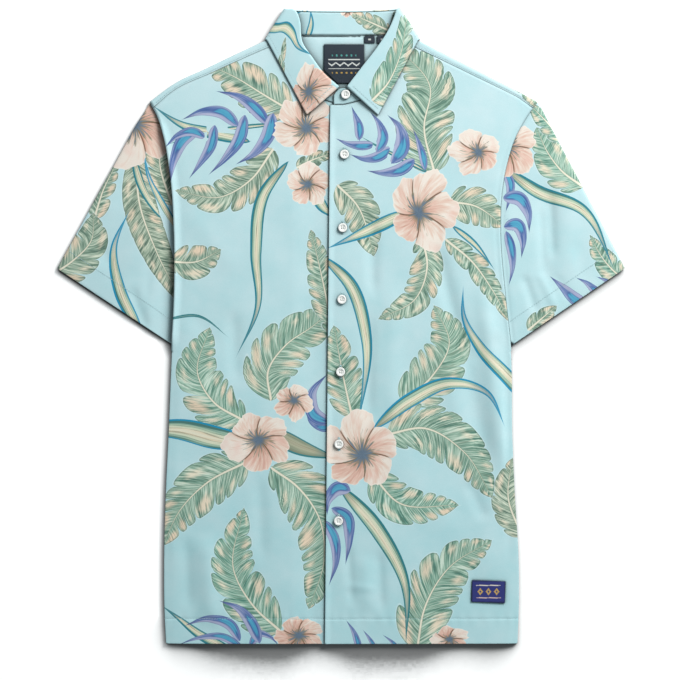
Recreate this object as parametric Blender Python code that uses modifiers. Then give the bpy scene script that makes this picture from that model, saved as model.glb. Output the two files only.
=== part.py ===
"""Short-sleeved hawaiian shirt, buttoned and laid flat with its front up.

The shirt lies on z = 0, +Y runs to the collar and +X to the viewer's right. "left" and "right" are
the viewer's. Sizes and tables are in millimetres, and the meshes are written in metres.

Each cloth piece is an open surface with a Solidify wall. The layers are stacked one PITCH apart:
back, tuck of the back, tuck of the front, front. The sides are tucked in, so the side seams lie
hidden between front and back. The collar's fall lies under the stand at the back of the neck, turns
over at both sides and lies on the fronts as two points.
"""

import math
from collections import namedtuple

import bmesh
import bpy
import numpy as np

MM = 0.001
SIGN = {"left": -1.0, "right": 1.0}

# Walls and the space between pieces
WALL = 1.2
COLLAR_WALL = 1.4
LABEL_WALL = 1.0
GAP = 0.3
PITCH = WALL + GAP
# Curved seams keep a little more, because the two sides are drawn with different chords
CURVED_GAP = 0.6
SLEEVE_GAP = 0.4
# The roll's first edge leans back over the stand, so it starts this far from it
ROLL_START = 0.65

# Heights of the layers' middles
BACK_Z = WALL / 2
BACK_TUCK_Z = BACK_Z + PITCH
FRONT_TUCK_Z = BACK_Z + 2 * PITCH
FRONT_Z = BACK_Z + 3 * PITCH
FALL_BACK_Z = COLLAR_WALL / 2
NECK_Z = 2.7
STAND_TOP_Z = 7.0
FALL_TOP_Z = 9.0
FALL_EDGE_Z = FRONT_Z + WALL / 2 + GAP + COLLAR_WALL / 2

# Heights on the garment, along +Y
HEM_Y = -387.0
HEM_SAG = 3.0
HEM_HALF = 218.0
PIT_Y = -32.0
YOKE_SEAM_Y = 230.0
FRONT_YOKE_END_Y = 267.0
TIP_Y = 275.0
NECK_POINT_Y = 346.0
BACK_NECK_DIP = 0.4

# The neck opening, measured from the collar's own centre line
COLLAR_X = 1.8
NECK_HALF = 77.7
NECK_DEPTH = 75.0
NECK_FLATTENING = 0.2
FRONT_LAP = 14.5
FRONT_SLANT = 6.5

# Each end of the stand laps past the centre line and is rounded: its height at shares of the lap
STAND_LAP = 10.8
StandEnd = namedtuple("StandEnd", "share height")
STAND_ENDS = (StandEnd(0.55, 17.5), StandEnd(1.0, 11.0))

# The tucks that carry the hidden side seams
TUCK = 60.0
TUCK_AT_PIT = 14.0
TUCK_TAPER = 90.0

# The left front runs under the right one between these two x
UNDERLAP_FROM = -62.0
UNDERLAP_TO = -30.0

# The yoke is lifted over the hidden part of the fall
LIFT_FROM_Y = 296.0
LIFT_TO_Y = 336.0
LIFT_OUT = 122.0
LIFT_IN = 98.0

# Strip of the yoke that shows on the fronts: its width at the neck and at the armhole
FRONT_YOKE_WIDTH = (10.0, 6.5)

# The left sleeve runs this far in between the body's layers, and rises to full height outside them
SLEEVE_TUCK = 10.0
SLEEVE_CLEAR = 2.0
SLEEVE_RISE = 12.0
# Lowest point of each sleeve's armhole edge, and of the left one's hidden edge
SLEEVE_FOOT_Y = {"left": -19.2, "right": -17.0}
HIDDEN_FOOT_Y = -27.2

# Rows and columns of the surfaces
SIDE_ROWS = 12
ARMHOLE_ROWS = 9
YOKE_ROWS = 6
NECK_COLUMNS = 8
SHOULDER_COLUMNS = 10
BACK_NECK_COLUMNS = 8
TUCK_COLUMNS = 3
ARC_STEPS = 4
SLEEVE_LENGTHS = 8

# Outer edge of the body: the folded sides below the pit, the armhole seams above it
Edge = namedtuple("Edge", "y left right")
EDGES = (
    Edge(-387, 214.5, 216.4),
    Edge(-345, 216.6, 218.0),
    Edge(-285, 217.0, 217.8),
    Edge(-200, 214.8, 213.0),
    Edge(-130, 211.5, 210.0),
    Edge(-32, 207.5, 208.5),
    Edge(40, 203.9, 200.8),
    Edge(120, 204.2, 195.0),
    Edge(165, 206.6, 197.0),
    Edge(200, 210.8, 203.4),
    Edge(230, 216.2, 213.0),
    Edge(255, 224.0, 226.5),
    Edge(275, 234.5, 240.5),
)

# Folded shoulder line from the neck (share 0) to the armhole (share 1)
Shoulder = namedtuple("Shoulder", "share left_x left_y right_x right_y")
SHOULDERS = (
    Shoulder(0.00, 75.2, 358.0, 78.8, 358.0),
    Shoulder(0.30, 118.0, 338.5, 126.0, 334.5),
    Shoulder(0.62, 165.0, 316.0, 175.0, 309.5),
    Shoulder(0.86, 207.0, 295.5, 213.0, 290.0),
    Shoulder(1.00, 234.5, 275.0, 240.5, 275.0),
)

# Roll line of the collar on the fronts, from the turned side (share 0) to the closing (share 1);
# u is measured outwards from the collar's centre line
Roll = namedtuple("Roll", "share left_u left_y right_u right_y")
ROLLS = (
    Roll(0.00, 71.0, 390.0, 70.0, 391.0),
    Roll(0.12, 59.0, 388.0, 64.5, 380.5),
    Roll(0.25, 53.0, 376.0, 60.0, 369.5),
    Roll(0.45, 50.5, 349.0, 51.0, 353.0),
    Roll(0.62, 39.0, 330.5, 40.5, 338.0),
    Roll(0.82, 24.0, 309.5, 25.0, 317.5),
    Roll(1.00, 6.0, 293.5, 7.0, 293.5),
)
ROLL_BACK_Y = 386.5
FALL_SIDE = (95.3, 351.3)
FALL_POINT = (43.5, 258.0)
FALL_BACK_Y = 344.0
FALL_BULGE = 0.4
ROLL_INSET = 2.3

# Sleeve hems as they show: outer corner, and the inner corner at the body
SleeveHem = namedtuple("SleeveHem", "outer_x outer_y inner_x inner_y")
SLEEVE_HEMS = {
    "left": SleeveHem(347.5, 71.7, 213.5, -16.6),
    "right": SleeveHem(347.5, 71.7, 212.0, -20.0),
}

# Soft folds of the laid cloth: a ridge (or trough) from one end to the other, which rises and
# fades out over a share of its length
FOLD_FADE = 0.25
Fold = namedtuple("Fold", "x0 y0 x1 y1 height width")
BODY_FOLDS = (
    Fold(-196, 150, -120, 60, 0.9, 16),
    Fold(-190, -60, -120, -150, 0.8, 20),
    Fold(-160, -240, -150, -380, 1.2, 18),
    Fold(-78, -120, -82, -300, 0.7, 22),
    Fold(70, -60, 92, -260, 0.8, 24),
    Fold(92, -300, 98, -388, 1.2, 14),
    Fold(182, 20, 130, -70, 0.9, 18),
    Fold(185, -120, 176, -330, 0.8, 16),
    Fold(176, 170, 120, 110, 0.8, 16),
)
SLEEVE_FOLDS = (
    Fold(250, 190, 252, 30, -1.3, 12),
    Fold(272, 196, 282, 50, 0.9, 14),
    Fold(-238, 170, -262, 60, 0.8, 16),
    Fold(-300, 120, -285, 70, -0.7, 12),
)

# Buttons: place of each on the closing, top one on the stand
ButtonPlace = namedtuple("ButtonPlace", "x y")
BUTTON_PLACES = (
    ButtonPlace(5.6, 283.6),
    ButtonPlace(4.2, 210.5),
    ButtonPlace(2.1, 120.7),
    ButtonPlace(1.0, 33.1),
    ButtonPlace(-0.5, -55.4),
    ButtonPlace(-2.6, -143.8),
    ButtonPlace(-3.1, -237.6),
)
BUTTON_RADIUS = 5.5
BUTTON_HEIGHT = 2.3
BUTTON_DISH = 0.6
BUTTON_RIM = 1.7
BUTTON_HOLE_RADIUS = 0.75
BUTTON_HOLE_SPACING = 2.5
BUTTON_SIDES = 28
BUTTON_ROUNDING = 0.6
DRILL_SIDES = 10
# The top button is tilted on the sloping stand, so its low side needs this much more room
TOP_BUTTON_LIFT = 0.1

# Labels: centre, half width, top and bottom
NECK_LABEL_X = 3.8
NECK_LABEL_TOP = 345.0
NECK_LABEL_SHOULDER = 314.0
NECK_LABEL_BOTTOM = 298.0
NECK_LABEL_HALF = 24.5
NECK_LABEL_POINT_HALF = 8.0
SIZE_TABS = ((35.0, 6.2), (50.3, 6.2))
SIZE_TAB_TOP = 355.4
SIZE_TAB_BOTTOM = 346.8
HEM_LABEL_CENTRE = (180.2, -323.9)
HEM_LABEL_SIZE = (41.0, 26.5)
HEM_LABEL_TURN = math.radians(-2.5)
# Added under a label on a curved panel, whose own faces bow less than its formula
LABEL_LIFT = 0.2


def ease(x):
    """0 below 0, 1 above 1, and a smooth S between."""
    x = np.clip(x, 0.0, 1.0)
    return x * x * (3.0 - 2.0 * x)


def through(parameter, values, at):
    """Smooth curve through the values at their parameters, read at other parameters."""
    x = np.asarray(parameter, float)
    y = np.asarray(values, float)
    slope = np.gradient(y, x)
    at = np.asarray(at, float)
    k = np.clip(np.searchsorted(x, at, side="right") - 1, 0, len(x) - 2)
    step = x[k + 1] - x[k]
    t = (at - x[k]) / step
    start = y[k] * (1 + 2 * t) * (1 - t) ** 2 + slope[k] * step * t * (1 - t) ** 2
    end = y[k + 1] * (3 - 2 * t) * t**2 - slope[k + 1] * step * (1 - t) * t**2
    return start + end


def column(table, name):
    return [getattr(row, name) for row in table]


def plan(x, y):
    return np.stack(np.broadcast_arrays(np.asarray(x, float), np.asarray(y, float)), axis=-1)


def raised(points, z):
    """Plan points with their heights, as 3-D points."""
    z = np.broadcast_to(z, points.shape[:-1])
    return np.concatenate([points, z[..., None]], axis=-1)


def unit(vectors):
    return vectors / np.linalg.norm(vectors, axis=-1, keepdims=True)


def edge_x(side, y):
    """x of the body's outer edge at the heights y."""
    return SIGN[side] * through(column(EDGES, "y"), column(EDGES, side), y)


def folds(table, x, y):
    """Height that the soft folds add: each a bell across its line, fading out at the two ends."""
    total = np.zeros(np.broadcast(x, y).shape)
    for fold in table:
        run = np.array([fold.x1 - fold.x0, fold.y1 - fold.y0], float)
        length = np.hypot(*run)
        along = ((x - fold.x0) * run[0] + (y - fold.y0) * run[1]) / length**2
        across = ((x - fold.x0) * run[1] - (y - fold.y0) * run[0]) / length
        fade = ease(along / FOLD_FADE) * ease((1 - along) / FOLD_FADE)
        total = total + fold.height * fade * np.exp(-((across / fold.width) ** 2))
    return total


def front_level(side, x, y):
    """Height of a front: the left one sinks by one layer to run under the right one."""
    level = FRONT_Z + folds(BODY_FOLDS, x, y)
    if side == "left":
        level = level - PITCH * ease((x - UNDERLAP_FROM) / (UNDERLAP_TO - UNDERLAP_FROM))
    return level


def yoke_level(x, y):
    """Height of the yoke's back: lifted near the neck, where the fall lies under it."""
    up = ease((y - LIFT_FROM_Y) / (LIFT_TO_Y - LIFT_FROM_Y))
    out = ease((LIFT_OUT - np.abs(x - COLLAR_X)) / (LIFT_OUT - LIFT_IN))
    return BACK_Z + (NECK_Z - BACK_Z) * up * out


def hem_y(x):
    """The hem sags a little between the two sides."""
    return HEM_Y - HEM_SAG * (1 - (x / HEM_HALF) ** 2)


def tuck_width(y):
    """The tucked-in cloth widens from the pit downwards."""
    return TUCK_AT_PIT + (TUCK - TUCK_AT_PIT) * ease((PIT_Y - y) / TUCK_TAPER)


def turn(centre, outward, low, high, steps=ARC_STEPS):
    """Half-circle turn of cloth from height low to height high, bulging outwards from its centre.

    centre and outward are plan arrays of one point a column; the result has a row a step.
    """
    rows = []
    for angle in np.linspace(0.0, math.pi, steps + 1):
        radius = (high - low) / 2
        points = centre + outward * (radius * math.sin(angle))[..., None]
        rows.append(raised(points, (low + high) / 2 - radius * math.cos(angle)))
    return np.array(rows)


def coons(bottom, top, inner, outer):
    """Plan grid filled in between four edges; bottom and top run from inner to outer."""
    across = (top[:, 0] - top[0, 0]) / (top[-1, 0] - top[0, 0])
    up = (outer[:, 1] - outer[0, 1]) / (outer[-1, 1] - outer[0, 1])
    u = across[None, :, None]
    v = up[:, None, None]
    rules = (1 - v) * bottom[None] + v * top[None] + (1 - u) * inner[:, None] + u * outer[:, None]
    corners = (1 - u) * (1 - v) * bottom[0] + u * (1 - v) * bottom[-1]
    corners = corners + (1 - u) * v * top[0] + u * v * top[-1]
    return rules - corners


def shoulder(side, share):
    """Folded shoulder line in plan, and its outward direction, at the shares from the neck."""
    shares = column(SHOULDERS, "share")
    step = 0.01

    def point(at):
        x = SIGN[side] * through(shares, column(SHOULDERS, side + "_x"), at)
        return plan(x, through(shares, column(SHOULDERS, side + "_y"), at))

    run = unit(point(np.minimum(share + step, 1)) - point(np.maximum(share - step, 0)))
    outward = np.stack([-run[:, 1], run[:, 0]], axis=-1) * SIGN[side]
    return point(share), outward


def shoulder_turn(side):
    """The yoke's turn over the shoulder: centres, outward directions, and the low height."""
    share = np.linspace(0, 1, SHOULDER_COLUMNS + 1)
    line, outward = shoulder(side, share)
    low = yoke_level(line[:, 0], line[:, 1])
    inset = (FRONT_Z - low) / 2 + WALL / 2
    centre = line - outward * inset[:, None]
    return centre, outward, yoke_level(centre[:, 0], centre[:, 1])


def front_yoke_edge(side):
    """Lower edge of the yoke's strip on the front, from the neck point to the armhole."""
    share = np.linspace(0, 1, SHOULDER_COLUMNS + 1)
    line, outward = shoulder(side, share)
    width = FRONT_YOKE_WIDTH[0] + (FRONT_YOKE_WIDTH[1] - FRONT_YOKE_WIDTH[0]) * share
    edge = line - outward * width[:, None]
    edge[0] = neckline(side)[0] + (0, GAP)
    edge[-1] = (edge_x(side, FRONT_YOKE_END_Y), FRONT_YOKE_END_Y + GAP)
    return edge


def neckline(side):
    """Front neck edge from the neck point to the front edge: a flattened quarter ellipse, then straight."""
    share = np.linspace(0, 1, NECK_COLUMNS + 1)
    angle = share * math.pi / 2
    flat = NECK_FLATTENING
    u = NECK_HALF * ((1 - flat) * np.cos(angle) + flat * (1 - share))
    y = NECK_POINT_Y - NECK_DEPTH * ((1 - flat) * np.sin(angle) + flat * share)
    u = np.append(u, [-STAND_LAP, -FRONT_LAP])
    y = np.append(y, [y[-1], y[-1]])
    return plan(COLLAR_X + SIGN[side] * u, y)


def side_heights():
    return np.linspace(HEM_Y, PIT_Y, SIDE_ROWS + 1)


def armhole_heights():
    return np.linspace(PIT_Y, YOKE_SEAM_Y, ARMHOLE_ROWS + 1)


def yoke_heights():
    return np.append(np.linspace(YOKE_SEAM_Y, FRONT_YOKE_END_Y, YOKE_ROWS + 1), TIP_Y)


def body_edge(side, heights):
    """Outer edge of a body panel's flat part: the folded side starts its turn inside the edge."""
    turned = (PITCH + WALL) / 2
    inset = np.where(heights <= PIT_Y, turned, 0.0)
    return plan(edge_x(side, heights) - SIGN[side] * inset, heights)


def side_tuck(side, edge, panel_z, tuck_z):
    """Turned side of a panel and the tuck behind it, as one patch from the panel inwards."""
    sign = SIGN[side]
    outward = np.broadcast_to([sign, 0.0], edge.shape)
    if panel_z[0] > tuck_z:
        turned = turn(edge, outward, np.full(len(edge), tuck_z), panel_z)[::-1]
    else:
        turned = turn(edge, outward, panel_z, np.full(len(edge), tuck_z))
    rows = list(turned)
    width = tuck_width(edge[:, 1])
    for part in range(1, TUCK_COLUMNS + 1):
        inwards = plan(edge[:, 0] - sign * width * part / TUCK_COLUMNS, edge[:, 1])
        rows.append(raised(inwards, tuck_z))
    return np.array(rows)


def front_patches(side):
    """Flat part of a front, filled in between its four edges, and its tucked side."""
    neck = neckline(side)[::-1]
    seam = front_yoke_edge(side)[1:]
    _, outward = shoulder(side, np.linspace(0, 1, SHOULDER_COLUMNS + 1)[1:])
    seam = seam - outward * GAP
    seam[-1] = (edge_x(side, FRONT_YOKE_END_Y), FRONT_YOKE_END_Y)
    top = np.concatenate([neck, seam])
    heights = np.concatenate([side_heights(), armhole_heights()[1:], yoke_heights()[1:-1]])
    outer = body_edge(side, heights)
    front_x = top[0, 0]
    across = (top[:, 0] - front_x) / (top[-1, 0] - front_x)
    hem_x = front_x - FRONT_SLANT + across * (outer[0, 0] - front_x + FRONT_SLANT)
    bottom = plan(hem_x, hem_y(hem_x))
    up = (heights - heights[0]) / (heights[-1] - heights[0])
    inner = bottom[0] + up[:, None] * (top[0] - bottom[0])
    outer[0] = bottom[-1]
    grid = coons(bottom, top, inner, outer)
    panel = raised(grid, front_level(side, grid[..., 0], grid[..., 1]))
    lower = panel[: SIDE_ROWS + 1, -1]
    return [panel, side_tuck(side, lower[:, :2], lower[:, 2], FRONT_TUCK_Z)]


def back_patches():
    """Flat back with both sides tucked in above it."""
    heights = np.concatenate([side_heights(), armhole_heights()[1:]])
    left = body_edge("left", heights)
    right = body_edge("right", heights)
    columns = np.linspace(0, 1, 2 * SHOULDER_COLUMNS + 1)[None, :, None]
    grid = left[:, None] * (1 - columns) + right[:, None] * columns
    grid[0, :, 1] = hem_y(grid[0, :, 0])
    panel = raised(grid, BACK_Z)
    patches = [panel]
    for side, index in (("left", 0), ("right", -1)):
        lower = panel[: SIDE_ROWS + 1, index]
        patches.append(side_tuck(side, lower[:, :2], lower[:, 2], BACK_TUCK_Z))
    return patches


def back_neck(count=BACK_NECK_COLUMNS):
    """Yoke's neck edge in plan, from the left shoulder's turn to the right one's."""
    left = shoulder_turn("left")[0][0]
    right = shoulder_turn("right")[0][0]
    share = np.linspace(0, 1, count + 1)
    edge = left + share[:, None] * (right - left)
    edge[:, 1] -= BACK_NECK_DIP * np.sin(math.pi * share)
    return edge


def yoke_patches():
    """Back part up to the shoulders and the neck, then each shoulder's turn and front strip."""
    turns = {side: shoulder_turn(side) for side in SIGN}
    top = np.concatenate([turns["left"][0][::-1], back_neck()[1:-1], turns["right"][0]])
    heights = yoke_heights()
    edges = {side: plan(edge_x(side, heights), heights) for side in SIGN}
    for side, index in (("left", 0), ("right", -1)):
        edges[side][0, 1] += GAP
        edges[side][-1] = top[index]
    across = ((top[:, 0] - top[0, 0]) / (top[-1, 0] - top[0, 0]))[:, None]
    bottom = edges["left"][0] + across * (edges["right"][0] - edges["left"][0])
    grid = coons(bottom, top, edges["left"], edges["right"])
    patches = [raised(grid, yoke_level(grid[..., 0], grid[..., 1]))]
    for side in SIGN:
        centre, outward, low = turns[side]
        over = turn(centre, outward, low, np.full(len(low), FRONT_Z))
        strip = raised(front_yoke_edge(side), FRONT_Z)
        middle = (over[-1] + strip) / 2
        patches.append(np.concatenate([over, [middle, strip]]))
    return patches


def sleeve_heights(side, height):
    """Heights of a sleeve's front and back layers; the left one slips between the body's layers."""
    def levels(x, y):
        relief = folds(SLEEVE_FOLDS, x, y)
        if side == "right":
            return FRONT_Z + relief, np.full(np.shape(x), BACK_Z)
        outside = np.abs(x) - np.abs(edge_x(side, np.clip(y, PIT_Y, TIP_Y)))
        rise = ease((outside - SLEEVE_CLEAR) / SLEEVE_RISE)
        front = FRONT_TUCK_Z + rise * (FRONT_Z - FRONT_TUCK_Z + relief)
        return front, BACK_TUCK_Z - rise * (BACK_TUCK_Z - BACK_Z)
    return levels(height[..., 0], height[..., 1])


def sleeve_lines(side):
    """Plan stations of a sleeve: one line a row from the armhole to the hem, top line first."""
    sign = SIGN[side]
    centre, outward, _ = shoulder_turn(side)
    along = unit(centre[-1] - centre[-2])
    heights = np.concatenate([yoke_heights()[-2::-1], armhole_heights()[-2:0:-1]])
    hem = SLEEVE_HEMS[side]
    outer = np.array([sign * hem.outer_x, hem.outer_y])
    inner = np.array([sign * hem.inner_x, hem.inner_y])
    heights = np.append(heights, SLEEVE_FOOT_Y[side])
    clear = SLEEVE_GAP if side == "right" else SLEEVE_CLEAR
    seam = plan(edge_x(side, heights) + sign * clear, heights)
    starts = [np.concatenate([[centre[-1] + along * clear], seam])]
    if side == "left":
        heights[-1] = HIDDEN_FOOT_Y
        inside = plan(edge_x(side, heights) - sign * SLEEVE_TUCK, heights)
        hidden_top = centre[-1] - along * SLEEVE_TUCK - outward[-1]
        starts.insert(0, np.concatenate([[hidden_top], inside]))
    run = unit(outer - starts[-1][0])
    top_outward = np.array([-run[1], run[0]]) * sign
    steps = np.linalg.norm(np.diff(starts[-1], axis=0), axis=1)
    share = np.concatenate([[0], np.cumsum(steps)]) / steps.sum()
    outer = outer - top_outward * ((FRONT_Z - BACK_Z + WALL) / 2)
    hem_line = outer + share[:, None] * (inner - outer)
    lengths = np.linspace(0, 1, SLEEVE_LENGTHS + 1)[:, None, None]
    grid = starts[-1] + lengths * (hem_line - starts[-1])
    if len(starts) == 2:
        grid = np.concatenate([starts[:1], grid])
    return grid, top_outward


def sleeve_patches(side):
    """Flattened tube: front layer, turn at the underarm, back layer, turn at the top."""
    grid, top_outward = sleeve_lines(side)
    high, low = sleeve_heights(side, grid)
    count = len(grid)
    under = np.broadcast_to([0.0, -1.0], (count, 2))
    over = np.broadcast_to(top_outward, (count, 2))
    front = raised(grid, high)
    back = raised(grid, low)
    bottom_turn = turn(grid[:, -1], under, low[:, -1], high[:, -1])
    top_turn = turn(grid[:, 0], over, low[:, 0], high[:, 0])
    return [front, back, bottom_turn, top_turn]


def roll_line(side, share):
    u = through(column(ROLLS, "share"), column(ROLLS, side + "_u"), share)
    y = through(column(ROLLS, "share"), column(ROLLS, side + "_y"), share)
    return plan(COLLAR_X + SIGN[side] * u, y)


def collar_sections(side):
    """Sections of half the collar from the back of the neck to the closing.

    Each has the neck seam, the stand's top, the fall's free edge, the direction from the stand to
    the fall, and the fall's height above the stand.
    """
    sign = SIGN[side]
    up = np.array([0.0, 0.0, 1.0])
    neck_shift = np.array([-sign * CURVED_GAP, CURVED_GAP])
    centre, outward, _ = shoulder_turn(side)
    seam_centre = centre[0] + neck_shift
    roll_side = roll_line(side, np.zeros(1))[0]
    axis = unit(plan(COLLAR_X + sign * FALL_SIDE[0], FALL_SIDE[1]) - roll_side)
    axis_out = np.array([-axis[1], axis[0]]) * sign
    top_half = (STAND_TOP_Z - NECK_Z) / 2
    roll_half = (FALL_TOP_Z - STAND_TOP_Z) / 2
    edge_half = (FALL_EDGE_Z - FALL_BACK_Z) / 2
    fall_out = top_half + 2 * roll_half + COLLAR_WALL / 2
    top_centre = roll_side - axis_out * fall_out + axis * ROLL_INSET
    edge_centre = plan(COLLAR_X + sign * FALL_SIDE[0], FALL_SIDE[1])
    edge_centre = edge_centre - axis_out * (edge_half + COLLAR_WALL / 2)

    seam, top, edge, normal, lift = [], [], [], [], []
    half = BACK_NECK_COLUMNS // 2
    back_edge = back_neck()
    if side == "left":
        back_edge = back_edge[::-1]
    back_edge = back_edge[half:] + (0, CURVED_GAP)
    for part in range(half):
        share = part / half
        seam.append(np.append(back_edge[part], NECK_Z))
        middle = np.array([COLLAR_X, ROLL_BACK_Y - ROLL_INSET])
        level = middle + share * (top_centre - middle)
        level[1] = middle[1] + share**2 * (top_centre[1] - middle[1])
        top.append(np.append(level, NECK_Z))
        free = np.array([COLLAR_X, FALL_BACK_Y])
        free = free + share * (edge_centre - free)
        free[1] = FALL_BACK_Y + share**3 * (edge_centre[1] - FALL_BACK_Y)
        edge.append(np.append(free, FALL_BACK_Z))
        normal.append(-up)
        lift.append(2 * roll_half)
    for angle in np.linspace(0, math.pi, ARC_STEPS + 1):
        seam_way = np.append(outward[0] * math.sin(angle), -math.cos(angle))
        way = np.append(axis_out * math.sin(angle), -math.cos(angle))
        seam.append(np.append(seam_centre, (NECK_Z + FRONT_Z) / 2) + seam_way * (FRONT_Z - NECK_Z) / 2)
        top.append(np.append(top_centre, (NECK_Z + STAND_TOP_Z) / 2) + way * top_half)
        edge.append(np.append(edge_centre, (FALL_BACK_Z + FALL_EDGE_Z) / 2) + way * edge_half)
        normal.append(way)
        lift.append(2 * roll_half)
    neck = neckline(side)[:-2]
    inward = unit(np.array([COLLAR_X, NECK_POINT_Y]) - neck)
    inward[-1] = (0.0, 1.0)
    stations = len(neck)
    point = plan(COLLAR_X + sign * FALL_POINT[0], FALL_POINT[1])
    for part in range(1, stations + 1):
        share = part / stations
        seam_at = neck[part - 1] + inward[part - 1] * CURVED_GAP
        seam_z = front_level(side, *seam_at)
        roll = roll_line(side, np.array([share]))[0]
        top_at = roll - unit(roll - seam_at) * ROLL_INSET
        top_z = STAND_TOP_Z + seam_z - FRONT_Z
        seam.append(np.append(seam_at, seam_z))
        top.append(np.append(top_at, top_z))
        corner = edge_centre + share * (point - edge_centre)
        edge.append(np.append(corner, FALL_EDGE_Z))
        normal.append(up)
        lift.append(FALL_TOP_Z - top_z)
    return tuple(np.array(values) for values in (seam, top, edge, normal, lift))


def stand_patches():
    """Collar stand from the left end, round the back of the neck, to the right end."""
    halves = {}
    for side in SIGN:
        sign = SIGN[side]
        seam, top, _, _, _ = collar_sections(side)
        base = seam[-1]
        for end in STAND_ENDS:
            foot = np.array([COLLAR_X - sign * STAND_LAP * end.share, base[1], base[2]])
            rise = (STAND_TOP_Z - FRONT_Z) * end.height / (top[-1, 1] - base[1])
            seam = np.append(seam, [foot], axis=0)
            top = np.append(top, [foot + (0.0, end.height, rise)], axis=0)
        halves[side] = (seam, top)
    seam = np.concatenate([halves["left"][0][:0:-1], halves["right"][0]])
    top = np.concatenate([halves["left"][1][:0:-1], halves["right"][1]])
    return [np.array([seam + (top - seam) * share for share in (0.0, 1 / 3, 2 / 3, 1.0)])]


def fall_patches():
    """Collar fall: a half-circle roll from the stand's top, then out to the free edge."""
    halves = []
    for side in SIGN:
        seam, top, edge, normal, lift = collar_sections(side)
        along = unit(np.gradient(top, axis=0))
        upwards = top - seam
        upwards = unit(upwards - along * (upwards * along).sum(axis=1, keepdims=True))
        facing = np.cross(along, upwards)
        normal = facing * np.sign((facing * normal).sum(axis=1, keepdims=True))
        start = top + upwards * ROLL_START
        radius = lift[:, None] / 2
        rows = []
        for angle in np.linspace(0, math.pi, ARC_STEPS + 1):
            way = normal * (1 - math.cos(angle)) + upwards * math.sin(angle)
            rows.append(start + way * radius)
        rolled = rows[-1]
        for share in (0.25, 0.5, 0.75, 1.0):
            bulge = FALL_BULGE * math.sin(math.pi * share) * np.maximum(normal[:, 2:], 0)
            rows.append(rolled + (edge - rolled) * share + normal * bulge)
        halves.append(np.array(rows))
    return [np.concatenate([halves[0][:, :0:-1], halves[1]], axis=1)]


def neck_label_patches():
    """Label on the inside of the yoke: straight sides, then two cut corners."""
    lift = WALL / 2 + GAP + LABEL_WALL / 2 + LABEL_LIFT
    rows = []
    for y in np.linspace(NECK_LABEL_TOP, NECK_LABEL_BOTTOM, 10):
        cut = max(0.0, (NECK_LABEL_SHOULDER - y) / (NECK_LABEL_SHOULDER - NECK_LABEL_BOTTOM))
        half = NECK_LABEL_HALF + cut * (NECK_LABEL_POINT_HALF - NECK_LABEL_HALF)
        x = NECK_LABEL_X + half * np.linspace(-1, 1, 4)
        rows.append(raised(plan(x, y), yoke_level(x, y) + lift))
    return [np.array(rows)]


def size_tab_patches(centre, half):
    lift = WALL / 2 + GAP + LABEL_WALL / 2
    x = np.array([centre - half, centre + half])
    rows = [raised(plan(x, y), NECK_Z + lift) for y in (SIZE_TAB_TOP, SIZE_TAB_BOTTOM)]
    return [np.array(rows)]


def hem_label_patches():
    lift = WALL / 2 + GAP + LABEL_WALL / 2 + LABEL_LIFT / 2
    across = np.linspace(-0.5, 0.5, 5) * HEM_LABEL_SIZE[0]
    rows = []
    for up in np.linspace(-0.5, 0.5, 4) * HEM_LABEL_SIZE[1]:
        x = HEM_LABEL_CENTRE[0] + across * math.cos(HEM_LABEL_TURN) - up * math.sin(HEM_LABEL_TURN)
        y = HEM_LABEL_CENTRE[1] + across * math.sin(HEM_LABEL_TURN) + up * math.cos(HEM_LABEL_TURN)
        rows.append(raised(plan(x, y), front_level("right", x, y) + lift))
    return [np.array(rows)]


def material(name, colour, roughness):
    """Plain material of the piece: linear colour, no metal."""
    made = bpy.data.materials.new(name)
    made.use_nodes = True
    shader = made.node_tree.nodes["Principled BSDF"]
    shader.inputs["Base Color"].default_value = (*colour, 1.0)
    shader.inputs["Roughness"].default_value = roughness
    shader.inputs["Metallic"].default_value = 0.0
    made.diffuse_color = (*colour, 1.0)
    return made


def place(name, mesh, collection, finish):
    thing = bpy.data.objects.new(name, mesh)
    collection.objects.link(thing)
    if not mesh.materials:
        mesh.materials.append(finish)
    return thing


def add_sheet(name, patches, wall, collection, finish):
    """Joins the patches where their edges meet and gives the surface its wall."""
    shape = bmesh.new()
    for patch in patches:
        grid = [[shape.verts.new(point * MM) for point in row] for row in patch]
        for near, far in zip(grid, grid[1:]):
            for a, b, c, d in zip(near, near[1:], far[1:], far):
                shape.faces.new((a, b, c, d))
    bmesh.ops.remove_doubles(shape, verts=shape.verts, dist=0.001 * MM)
    bmesh.ops.recalc_face_normals(shape, faces=shape.faces)
    mesh = bpy.data.meshes.new(name)
    shape.to_mesh(mesh)
    shape.free()
    mesh.shade_smooth()
    mesh.set_sharp_from_angle(angle=math.radians(40))
    thing = place(name, mesh, collection, finish)
    cloth = thing.modifiers.new("Wall", "SOLIDIFY")
    cloth.thickness = wall * MM
    cloth.offset = 0.0
    return thing


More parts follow.
